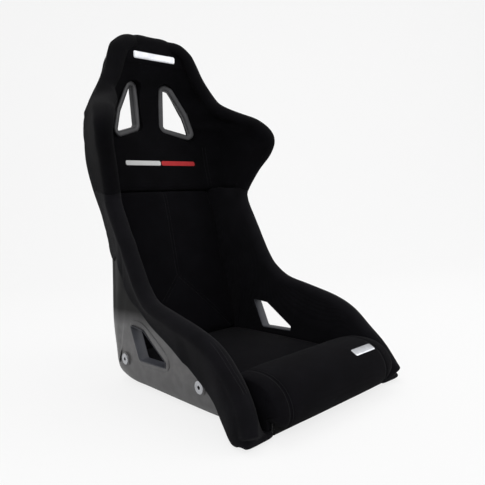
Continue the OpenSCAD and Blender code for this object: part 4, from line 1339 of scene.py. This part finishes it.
# THE OPENINGS' TRIMS
# Satin grey plastic bezels clipped into the shoulder openings over the cover, and plain sleeves
# that line the lap belt openings. Rounded lips keep the webbing from chafing.
def ring_piece(name, outline, profile, setting, radius=2.0):
    """Rings of one outline, grown and set deep by each pair of the profile, joined to a loop."""
    points, faces = [], []
    for grow, depth in profile:
        ring = rounded_ring(outline, grow, radius)
        count = len(ring)
        points += [setting(p[0], p[1], depth) * MM for p in ring]
    for i in range(len(profile)):
        a, b = i * count, ((i + 1) % len(profile)) * count
        faces += [(a + j, a + (j + 1) % count, b + (j + 1) % count, b + j) for j in range(count)]
    piece = mesh_piece(name, points, faces)
    tidy_mesh(piece, 0.00001)
    return piece


BEZEL_PROFILE = [(15, -4.0), (14.8, -2.4), (14.0, -1.0), (12.4, -0.2), (10, 0), (7, -0.1), (4.6, -0.7),
                 (2.6, -1.8), (1.0, -3.2), (0.2, -5), (0, -7.5), (0, -17.5), (0.5, -18), (2, -18),
                 (2, -12), (2, -4.0), (8, -4.0)]
LAP_PROFILE = [(2, 183), (0.4, 183), (0, 183.6), (0, 195), (0, 206.5), (0.5, 207.6), (1.5, 208), (2, 208),
               (2, 195)]
bezel_plastic = plastic_finish("bezel_plastic", (0.034, 0.034, 0.037), (0.05, 0.05, 0.054), 0.42)
lining_plastic = plastic_finish("lining_plastic", (0.028, 0.03, 0.037), (0.042, 0.044, 0.054), 0.5)
for side, label in ((-1, "left"), (1, "right")):
    bezel = ring_piece("harness_bezel_" + label, HARNESS_OUTLINE, BEZEL_PROFILE, harness_setting(side))
    sleeve = ring_piece("lap_sleeve_" + label, LAP_OUTLINE, LAP_PROFILE, lap_setting(side))
    for piece, node, finish in ((bezel, "harness_trim_", bezel_plastic),
                                (sleeve, "lap_trim_", lining_plastic)):
        smooth_below(piece, 40)
        piece.data.materials.append(finish)
        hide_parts(node + label)
        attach(piece, "root")
grommet_rubber = plastic_finish("grommet_rubber", (0.008, 0.008, 0.008), (0.014, 0.014, 0.014), 0.6)
bpy.data.objects["crotch_slot_trim"].data.materials.clear()
bpy.data.objects["crotch_slot_trim"].data.materials.append(grommet_rubber)

# THE FRONT APRON AND HOOK STRIPS
# A thin knit-covered panel on the front wall of the shell, behind the thigh rest, and the
# hook-and-loop strips bonded to the shell that hold the three cushions.
def build_apron():
    xs = np.linspace(-168, 168, 61)
    zs = np.linspace(8, 74, 15)
    face, rear = FRONT_FACE - 4, FRONT_FACE - GAP
    front = [[np.array([x, face + 1.2 * max((abs(x) / 168) ** 20, (abs(z - 41) / 33) ** 12), z])
              for z in zs] for x in xs]
    back = [[np.array([x, rear, z]) for z in zs] for x in xs]
    return grid_piece("apron_panel", front, back)


def hook_finish():
    """Woven tape with rows of small hooks, and painted shade between the hooks."""
    material, tree = new_finish("hook_tape")
    spot = add_node(tree, "ShaderNodeTexCoord", {}, {}, "Object")
    hooks = add_node(tree, "ShaderNodeTexVoronoi", {"feature": "F1"},
                     {"Vector": spot, "Scale": 700.0, "Randomness": 0.1})
    # Painted shade: the tape darkens from the hooks to the gaps between them, where the bump sinks.
    tone = add_node(tree, "ShaderNodeValToRGB",
                    {"stops": [(0.1, (0.03, 0.03, 0.03, 1)), (0.6, (0.006, 0.006, 0.006, 1))]}, {0: hooks})
    bump = add_node(tree, "ShaderNodeBump", {}, {"Strength": 0.8, "Distance": 0.0008, "Height": 1.0 - hooks})
    surface = add_node(tree, "ShaderNodeBsdfPrincipled", {},
                       {"Base Color": tone, "Roughness": hooks * 0.2 + 0.65, "Normal": bump})
    tree.links.new(surface.socket, tree.nodes["Material Output"].inputs[0])
    return material


def strip_points(rows, low, high, across, depth):
    grid = []
    for s in np.linspace(rows[0], rows[1], 25):
        w = row_of(BREADTH, s)
        grid.append([skin(s, x / (w[0] - w[2]), depth) for x in np.linspace(low, high, across)])
    return grid


hook_tape = hook_finish()
STRIPS = {"seat_cushion_strips": [((5, 7), 70, 100), ((5, 7), -100, -70)],
          "back_cushion_strips": [((12, 15), 70, 100), ((12, 15), -100, -70)],
          "front_cushion_strip": [((1.5, 2), -100, 100)]}
apron_knit = cloth_finish("apron_knit", (0.006, 0.006, 0.006), (0.01, 0.01, 0.0105), sheen=0.1)
apron = build_apron()
apron.data.materials.append(apron_knit)
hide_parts("front_apron")
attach(apron, "root")
for node, places in STRIPS.items():
    for number, (rows, low, high) in enumerate(places):
        strip = grid_piece("%s_%d" % (node.replace("cushion", "hook"), number),
                           strip_points(rows, low, high, 9, WALL + 2), strip_points(rows, low, high, 9, WALL))
        strip.data.materials.append(hook_tape)
        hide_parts(node)
        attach(strip, "root")

# THE PATCHES AND BARS
# Two blank silver foil patches, sewn on at the head and on the nose of the thigh rest, and a
# white and a red bar of flock transfer across the chest.
def skin_tree(*pieces):
    """A search tree over the finished faces of the covers."""
    points, faces = [], []
    for piece in pieces:
        start = len(points)
        points += [v.co.copy() for v in piece.data.vertices]
        faces += [tuple(start + k for k in f.vertices) for f in piece.data.polygons]
    return BVHTree.FromPolygons(points, faces)


def on_cover(tree, spot, way, lift):
    """The point where a line from the spot along the way meets the cover, raised off it."""
    hit, normal = tree.ray_cast(Vector(spot) * MM, Vector(way))[:2]
    if hit is None:
        return None
    if normal.dot(Vector(way)) > 0:
        normal = -normal
    return np.array(hit) / MM + np.array(normal) * lift


def lay_patch(name, tree, middle, size, corner, way, thick, across=48, up=10):
    """A thin panel with round corners laid on the cover along the way, as a closed piece."""
    wide, tall = size
    front, back = [], []
    way = unit(np.array(way, float))
    side = unit(np.cross(way, [0, 0, 1]))
    rise = np.cross(side, way)
    for a in np.linspace(-1, 1, across):
        x = a * wide / 2
        over = max(0, abs(x) - wide / 2 + corner)
        half = tall / 2 - corner + math.sqrt(max(0, corner ** 2 - over ** 2))
        top, under = [], []
        for b in np.linspace(-1, 1, up):
            spot = np.array(middle) + side * x + rise * (b * half) - way * 80
            edge = 0.35 if abs(b) == 1 or abs(a) == 1 else 1
            top.append(on_cover(tree, spot, way, thick * edge + 0.15))
            under.append(on_cover(tree, spot, way, 0.05))
        front.append(top)
        back.append(under)
    return grid_piece(name, front, back)


def foil_finish():
    """Brushed silver foil with fine creases."""
    return metal_finish("silver_foil", (0.62, 0.63, 0.66), 0.3, 160.0)


def flock_finish(name, dark, light):
    """Flock: short dense fibres that scatter light evenly."""
    material, tree = new_finish(name)
    spot = add_node(tree, "ShaderNodeTexCoord", {}, {}, "Object")
    fibres = add_node(tree, "ShaderNodeTexNoise", {}, {"Vector": spot, "Scale": 1800.0, "Detail": 3.0})
    tone = add_node(tree, "ShaderNodeValToRGB",
                    {"stops": [(0.3, dark + (1,)), (0.7, light + (1,))]}, {0: fibres})
    bump = add_node(tree, "ShaderNodeBump", {}, {"Strength": 0.5, "Distance": 0.0003, "Height": fibres})
    surface = add_node(tree, "ShaderNodeBsdfPrincipled", {},
                       {"Base Color": tone, "Roughness": fibres * 0.1 + 0.75, "Normal": bump,
                        "Sheen Weight": 0.15})
    tree.links.new(surface.socket, tree.nodes["Material Output"].inputs[0])
    return material


silver_foil = foil_finish()
cover_tree = skin_tree(upper_cover)
thigh_tree = skin_tree(thigh_pad)
head_patch = lay_patch("head_foil_patch", cover_tree, (0, 250, 823.4), (128, 18), 3, (0, 1, 0), 0.9)
front_patch = lay_patch("front_foil_patch", thigh_tree, (107, -313.4, 112.3), (68, 17), 2.5,
                        (0, 0.75, -0.66), 0.9, 30)
white_bar = lay_patch("chest_flock_white", cover_tree, (-50.5, 250, 541.2), (107, 12.6), 3,
                      (0, 1, 0), 0.7, 40, 8)
red_bar = lay_patch("chest_flock_red", cover_tree, (62, 250, 541.2), (112, 12.6), 3, (0, 1, 0), 0.7, 40, 8)
for piece, node, finish in ((head_patch, "head_patch", silver_foil),
                            (front_patch, "front_patch", silver_foil),
                            (white_bar, "chest_bar_white",
                             flock_finish("white_flock", (0.62, 0.62, 0.62), (0.8, 0.8, 0.8))),
                            (red_bar, "chest_bar_red",
                             flock_finish("red_flock", (0.42, 0.012, 0.016), (0.62, 0.025, 0.03)))):
    smooth_below(piece, 60)
    piece.data.materials.append(finish)
    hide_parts(node)
    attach(piece, "root")

# THE STITCHES
# Lockstitch in near-black thread beside every sewn line and along the hems. Each stitch is a
# short rounded rod, and the rows are laid by Geometry Nodes along the path of the seam.
def stitch_nodes():
    tree = bpy.data.node_groups.new("stitch_row", "GeometryNodeTree")
    face = tree.interface
    face.new_socket("Path", in_out="INPUT", socket_type="NodeSocketGeometry")
    for label, value in (("Pitch", 0.004), ("Length", 0.0028), ("Radius", 0.00032)):
        face.new_socket(label, in_out="INPUT", socket_type="NodeSocketFloat").default_value = value
    face.new_socket("Thread", in_out="INPUT", socket_type="NodeSocketMaterial")
    face.new_socket("Stitches", in_out="OUTPUT", socket_type="NodeSocketGeometry")
    kinds = ("NodeGroupInput", "GeometryNodeResampleCurve", "GeometryNodeInstanceOnPoints",
             "GeometryNodeMeshUVSphere", "GeometryNodeInputTangent", "FunctionNodeAlignRotationToVector",
             "GeometryNodeTransform", "ShaderNodeCombineXYZ", "GeometryNodeRealizeInstances",
             "GeometryNodeSetMaterial", "NodeGroupOutput")
    (start, resample, place_on, ball, tangent, turn, shape, sizes, real, paint, end) = [
        tree.nodes.new(kind) for kind in kinds]
    resample.mode = "LENGTH"
    ball.inputs["Segments"].default_value = 6
    ball.inputs["Rings"].default_value = 5
    ball.inputs["Radius"].default_value = 1.0
    turn.axis = "Z"
    link = tree.links.new
    link(start.outputs["Path"], resample.inputs["Curve"])
    link(start.outputs["Pitch"], resample.inputs["Length"])
    link(start.outputs["Radius"], sizes.inputs["X"])
    link(start.outputs["Radius"], sizes.inputs["Y"])
    half = tree.nodes.new("ShaderNodeMath")
    half.operation = "MULTIPLY"
    half.inputs[1].default_value = 0.5
    link(start.outputs["Length"], half.inputs[0])
    link(half.outputs[0], sizes.inputs["Z"])
    link(ball.outputs["Mesh"], shape.inputs["Geometry"])
    link(sizes.outputs[0], shape.inputs["Scale"])
    link(tangent.outputs[0], turn.inputs["Vector"])
    link(resample.outputs["Curve"], place_on.inputs["Points"])
    link(shape.outputs["Geometry"], place_on.inputs["Instance"])
    link(turn.outputs["Rotation"], place_on.inputs["Rotation"])
    link(place_on.outputs["Instances"], real.inputs["Geometry"])
    link(real.outputs["Geometry"], paint.inputs["Geometry"])
    link(start.outputs["Thread"], paint.inputs["Material"])
    link(paint.outputs["Geometry"], end.inputs["Stitches"])
    return tree


def thread_finish():
    """Twisted polyester thread."""
    material, tree = new_finish("seam_thread")
    spot = add_node(tree, "ShaderNodeTexCoord", {}, {}, "Object")
    twist = add_node(tree, "ShaderNodeTexNoise", {}, {"Vector": spot, "Scale": 3000.0, "Detail": 1.0})
    tone = add_node(tree, "ShaderNodeValToRGB",
                    {"stops": [(0.35, (0.01, 0.01, 0.011, 1)), (0.65, (0.024, 0.024, 0.026, 1))]}, {0: twist})
    surface = add_node(tree, "ShaderNodeBsdfPrincipled", {},
                       {"Base Color": tone, "Roughness": twist * 0.2 + 0.5, "Specular IOR Level": 0.2})
    tree.links.new(surface.socket, tree.nodes["Material Output"].inputs[0])
    return material


def sew(name, paths, tree, thread, pitch=0.0042, length=0.0031, radius=0.00034):
    """Rows of stitches along paths in millimetres, as one plain mesh."""
    curve = bpy.data.curves.new(name + "_path", "CURVE")
    curve.dimensions = "3D"
    for path in paths:
        line = curve.splines.new("POLY")
        line.points.add(len(path) - 1)
        for point, p in zip(line.points, path):
            point.co = (p[0] * MM, p[1] * MM, p[2] * MM, 1)
    row = bpy.data.objects.new(name + "_row", curve)
    bpy.context.scene.collection.objects.link(row)
    sewing = row.modifiers.new("sewing", "NODES")
    sewing.node_group = tree
    values = {"Pitch": pitch, "Length": length, "Radius": radius, "Thread": thread}
    for item in tree.interface.items_tree:
        if item.in_out == "INPUT" and item.name in values:
            sewing[item.identifier] = values[item.name]
    evaluated = row.evaluated_get(bpy.context.evaluated_depsgraph_get())
    mesh = bpy.data.meshes.new_from_object(evaluated)
    bpy.data.objects.remove(row)
    mesh.name = name
    mesh.polygons.foreach_set("use_smooth", [True] * len(mesh.polygons))
    stitches = bpy.data.objects.new(name, mesh)
    bpy.context.scene.collection.objects.link(stitches)
    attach(stitches, "root")
    return stitches


def seam_on(tree, targets, eye, lift=0.15, apart=0.0, steps=60):
    """A path on the cover under a line of targets as seen from one point, set aside if asked."""
    targets = np.array(targets, float)
    run = np.concatenate([[0], np.cumsum(np.linalg.norm(np.diff(targets, axis=0), axis=1))])
    path, eye = [], np.array(eye, float)
    for d in np.linspace(0, run[-1], steps):
        spot = np.array([np.interp(d, run, targets[:, k]) for k in range(3)])
        ahead = np.array([np.interp(min(d + 2, run[-1]), run, targets[:, k]) for k in range(3)])
        back = np.array([np.interp(max(d - 2, 0), run, targets[:, k]) for k in range(3)])
        aside = unit(np.cross(ahead - back, spot - eye))
        found = on_cover(tree, eye, tuple(unit(spot + aside * apart - eye)), lift)
        if found is not None:
            path.append(found)
    return path


def hem_path(rows, share, lift, ends, column_end):
    """A line of stitches along the hem of a cover on the outside of the shell."""
    path = []
    for s in rows:
        end_s = ends(s)
        a, b = s + (end_s - s) * share, 3 + (column_end(s) - 3) * share
        path.append(shell_face(a, b) - facing(a, b) * (cover_lift(s, share) + GAP + lift))
    return path


seam_thread = thread_finish()
stitch_row = stitch_nodes()
back_tree = skin_tree(back_pad)
eye = (0, -180, 330)
back_paths = []
for apart in (-4.2, 4.2):
    back_paths.append(seam_on(back_tree, [(0, 225, 452), (0, 215, 330), (0, 200, 240)], eye, apart=apart))
    for side in (-1, 1):
        back_paths.append(seam_on(back_tree, [(side * 3, 200, 236), (side * 80, 180, 156),
                                              (side * 150, 160, 82)], eye, apart=apart))
sew("back_pad_stitches", back_paths, stitch_row, seam_thread)
thigh_paths = []
for side in (-1, 1):
    for apart in (-4, 4):
        thigh_paths.append(seam_on(thigh_tree, [(side * END_SEAM, FRONT_REAR - 12, 112),
                                                (side * END_SEAM, FRONT_NOSE + 20, 108),
                                                (side * END_SEAM, FRONT_NOSE - 10, 70),
                                                (side * END_SEAM, FRONT_NOSE - 10, 20)],
                                   (side * END_SEAM * 1.02, -700, 300), apart=apart))
sew("thigh_rest_stitches", thigh_paths, stitch_row, seam_thread)
chest_paths = []
for side in (-1, 1):
    for apart in (-4, 4):
        chest_paths.append(seam_on(cover_tree, [(side * 155, 240, 478), (side * 155, 240, 530),
                                                (side * 155, 245, 585)],
                                   (side * 100, -300, 520), apart=apart))
chest_paths.append(hem_path(np.linspace(WAIST + 0.3, 27.9, 260), 0.9, 0.1, end_row,
                            lambda s: row_of(PADDING, s)[0]))
chest_paths.append([p * np.array([-1, 1, 1]) for p in chest_paths[-1]])
sew("upper_cover_stitches", chest_paths, stitch_row, seam_thread)
side_paths = []
side_paths.append(hem_path(np.linspace(4.6, 15.6, 260), 0.9, 0.1, lambda s: s,
                           lambda s: row_of(PADDING, s)[0]))
side_paths.append([p * np.array([-1, 1, 1]) for p in side_paths[-1]])
for side in (-1, 1):
    side_tree = skin_tree(bolsters[side])
    crest = [(side * 210, y, z) for y, z in ((-183, 160), (-210, 132), (-231, 112), (-248, 90), (-260, 70))]
    for apart in (-3.5, 3.5):
        side_paths.append(seam_on(side_tree, crest, (side * 210, -520, 420), apart=apart))
sew("side_bolster_stitches", side_paths, stitch_row, seam_thread)
